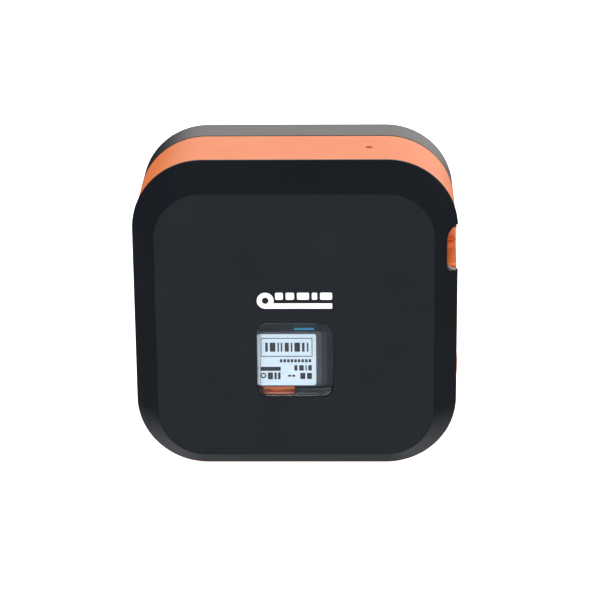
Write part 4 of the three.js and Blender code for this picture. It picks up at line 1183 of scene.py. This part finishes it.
# Moulded gears: a recessed web on both faces and slightly rolled tooth edges.
# (name, node, body, hub radius, rim radius); a rim of 0 leaves the wheel without a web
web = {"depth": 0.8, "edge": 0.07}
for name, node, bodyName, hub, rim in (
        ("platen_gear_wheel", "platen_gear", "platen", 2.6, 4.6),
        ("feed_idler_wheel", "feed_idler_gear", "feed_idler", 3.2, 12.0),
        ("link_idler_wheel", "link_idler_gear", "link_idler", 3.2, 9.8),
        ("ribbon_drive_wheel", "ribbon_gear", "ribbon_drive", 4.0, 6.0),
        ("feed_pinion_wheel", "feed_motor_pinion", "feed_rotor", 0, 0),
        ("cutter_pinion_wheel", "cutter_motor_pinion", "cutter_rotor", 0, 0),
        ("cutter_double_wheel", "cutter_gear", "cutter_wheel", 0, 0)):
    low, high = cadBox(node)
    wheel = refined(name, node, web["edge"], 1)
    if rim:
        combine(wheel, [turned("web", "y", crossCentre(low, high), [
            (hub, outside), (rim, outside), (rim, inside), (hub, inside)], 48, closed=True)
            for outside, inside in ((low.y - cutPast, low.y + web["depth"]),
                                    (high.y + cutPast, high.y - web["depth"]))])
    place(wheel, bodyName, whiteAcetal, [node])

for node, finish in (("power_switch", drawnSteel), ("feed_switch", drawnSteel), ("main_board", maskedBoard),
                     ("usb_tongue", charcoalAbs)):
    for materialSlot in nodes[node].material_slots:
        materialSlot.material = finish
print("works ready")

studio = {
    "floorSize": 12000,
    "floorColours": ("#f2f2f2", "#f6f6f6"),
    "floorCloud": 500,
    "floorThick": 20,
    "floorGlow": 0.96,  # lit from below like a light table, which keeps the shadows faint
    "topLight": {"place": (700, 500, 1500), "aim": (0, 0, 60), "size": 1200, "power": 8},
    "topLeftLight": {"place": (-700, 500, 1500), "aim": (0, 0, 60), "size": 1200, "power": 13.5},
    "highFrontLight": {"place": (0, -1300, 1500), "aim": (0, 0, 60), "size": 1000, "power": 12},
    "frontLight": {"place": (-300, -1900, 350), "aim": (0, 0, 60), "size": 1200, "power": 20.5},
    "leftLight": {"place": (-1700, 0, 500), "aim": (0, 0, 60), "size": 1200, "power": 5},
    "rightLight": {"place": (1700, 0, 500), "aim": (0, 0, 60), "size": 1200, "power": 12.5},
    "backLight": {"place": (0, 1900, 700), "aim": (0, 0, 60), "size": 1600, "power": 3},
}
# What glossy surfaces mirror: (direction, edge of its core, outer edge, strength, colour).
# Both edges are the cosine of the angle from the direction.
softBoxes = (
    ((0.20, 0.91, 0.36), 0.95, 0.78, 1.65, "#fffcf8"),
    ((0.0, -0.94, -0.34), 0.90, 0.70, 0.37, "#e2eeff"),
    ((-0.42, 0.55, -0.72), 0.99, 0.88, 0.30, "#f2f7ff"),
    ((0.42, 0.55, -0.72), 0.99, 0.88, 0.30, "#f2f7ff"),
    ((0.0, 0.69, -0.73), 0.98, 0.85, 0.09, "#f2f7ff"),
    ((0.88, -0.45, 0.10), 0.97, 0.93, 0.6, "#ffffff"),
    ((0.0, -0.72, 0.69), 0.92, 0.80, 0.20, "#ffffff"),
)
softAmbient = 0.03


def buildFloor():
    half = studio["floorSize"] / 2
    floor = block("floor", (-half, -half, -studio["floorThick"]), (half, half, 0))
    finish, tree = newFinish("matt white paper sweep")
    spot = addNode(tree, "ShaderNodeTexCoord").outputs["Object"]
    cloud = addNode(tree, "ShaderNodeTexNoise", {"Scale": 1 / (studio["floorCloud"] * mm)}, {"Vector": spot})
    dark, light = studio["floorColours"]
    tone = addNode(tree, "ShaderNodeValToRGB", {"stops": [(0.3, dark), (0.7, light)]},
                   {"Fac": cloud.outputs["Fac"]})
    shader = addNode(tree, "ShaderNodeBsdfPrincipled",
                     {"Roughness": 0.9, "Specular IOR Level": 0.0, "Emission Color": (1, 1, 1, 1),
                      "Emission Strength": studio["floorGlow"]}, {"Base Color": tone.outputs["Color"]})
    addNode(tree, "ShaderNodeOutputMaterial", None, {"Surface": shader.outputs["BSDF"]})
    floor.data.materials.append(finish)
    floor.visible_glossy = False  # the black cover would mirror all of it
    floor.visible_transmission = False


def buildLight(name):
    look = studio[name]
    lamp = bpy.data.lights.new(name, "AREA")
    lamp.size = look["size"] * mm
    lamp.energy = look["power"]
    holder = bpy.data.objects.new(name, lamp)
    bpy.context.scene.collection.objects.link(holder)
    holder.location = Vector(look["place"]) * mm
    holder.rotation_euler = (Vector(look["aim"]) - Vector(look["place"])).to_track_quat("-Z", "Y").to_euler()
    holder.visible_glossy = False  # the soft boxes below stand for its reflection


def buildSoftBoxes():
    world = bpy.data.worlds.new("studio")
    world.use_nodes = True
    world.cycles_visibility.diffuse = False
    tree = world.node_tree
    tree.nodes.clear()
    direction = addNode(tree, "ShaderNodeTexCoord").outputs["Generated"]
    total = addNode(tree, "ShaderNodeVectorMath", {0: (softAmbient,) * 3, 1: (0.0,) * 3})
    for aim, core, edge, strength, colour in softBoxes:
        near = addNode(tree, "ShaderNodeVectorMath",
                       {"operation": "DOT_PRODUCT", 1: Vector(aim).normalized()}, {0: direction})
        glow = addNode(tree, "ShaderNodeMapRange", {"interpolation_type": "SMOOTHSTEP", "From Min": edge,
                                                    "From Max": core, "To Max": strength},
                       {"Value": near.outputs["Value"]})
        tinted = addNode(tree, "ShaderNodeVectorMath", {"operation": "SCALE", 0: fromSrgb(colour)[:3]},
                         {"Scale": glow.outputs["Result"]})
        total = addNode(tree, "ShaderNodeVectorMath", None,
                        {0: total.outputs["Vector"], 1: tinted.outputs["Vector"]})
    ray = addNode(tree, "ShaderNodeLightPath")
    mirrored = addNode(tree, "ShaderNodeBackground", None, {"Color": total.outputs["Vector"]})
    seen = addNode(tree, "ShaderNodeBackground", {"Color": (1, 1, 1, 1), "Strength": 1.0})
    both = addNode(tree, "ShaderNodeMixShader", None, {0: ray.outputs["Is Camera Ray"],
                                                       1: mirrored.outputs[0], 2: seen.outputs[0]})
    addNode(tree, "ShaderNodeOutputWorld", None, {"Surface": both.outputs[0]})
    bpy.context.scene.world = world


camera = {
    "azimuth": 1.373,
    "elevation": 19.91,
    "roll": -0.553,
    "distance": 1008.6,
    "target": (1.34, cover["rimY"], coverLow.z + 69.65),
    "lens": 152.89,
    "sensor": 36,
    "farthest": 50000,
}


def buildCamera():
    azimuth, elevation, roll = (math.radians(camera[key]) for key in ("azimuth", "elevation", "roll"))
    back = Vector((math.sin(azimuth) * math.cos(elevation), -math.cos(azimuth) * math.cos(elevation),
                   math.sin(elevation)))
    right = Vector((math.cos(azimuth), math.sin(azimuth), 0))
    up = back.cross(right)
    right, up = right * math.cos(roll) + up * math.sin(roll), up * math.cos(roll) - right * math.sin(roll)
    optics = bpy.data.cameras.new("camera")
    optics.lens = camera["lens"]
    optics.sensor_width = camera["sensor"]
    optics.clip_end = camera["farthest"] * mm
    holder = bpy.data.objects.new("camera", optics)
    bpy.context.scene.collection.objects.link(holder)
    frameOfView = Matrix((right, up, back)).transposed().to_4x4()
    frameOfView.translation = (Vector(camera["target"]) + back * camera["distance"]) * mm
    holder.matrix_world = frameOfView
    bpy.context.scene.camera = holder


buildFloor()
for name in ("topLight", "topLeftLight", "highFrontLight", "frontLight", "leftLight", "rightLight",
             "backLight"):
    buildLight(name)
buildSoftBoxes()
buildCamera()
bpy.context.scene.view_settings.view_transform = "Standard"
print("studio ready")
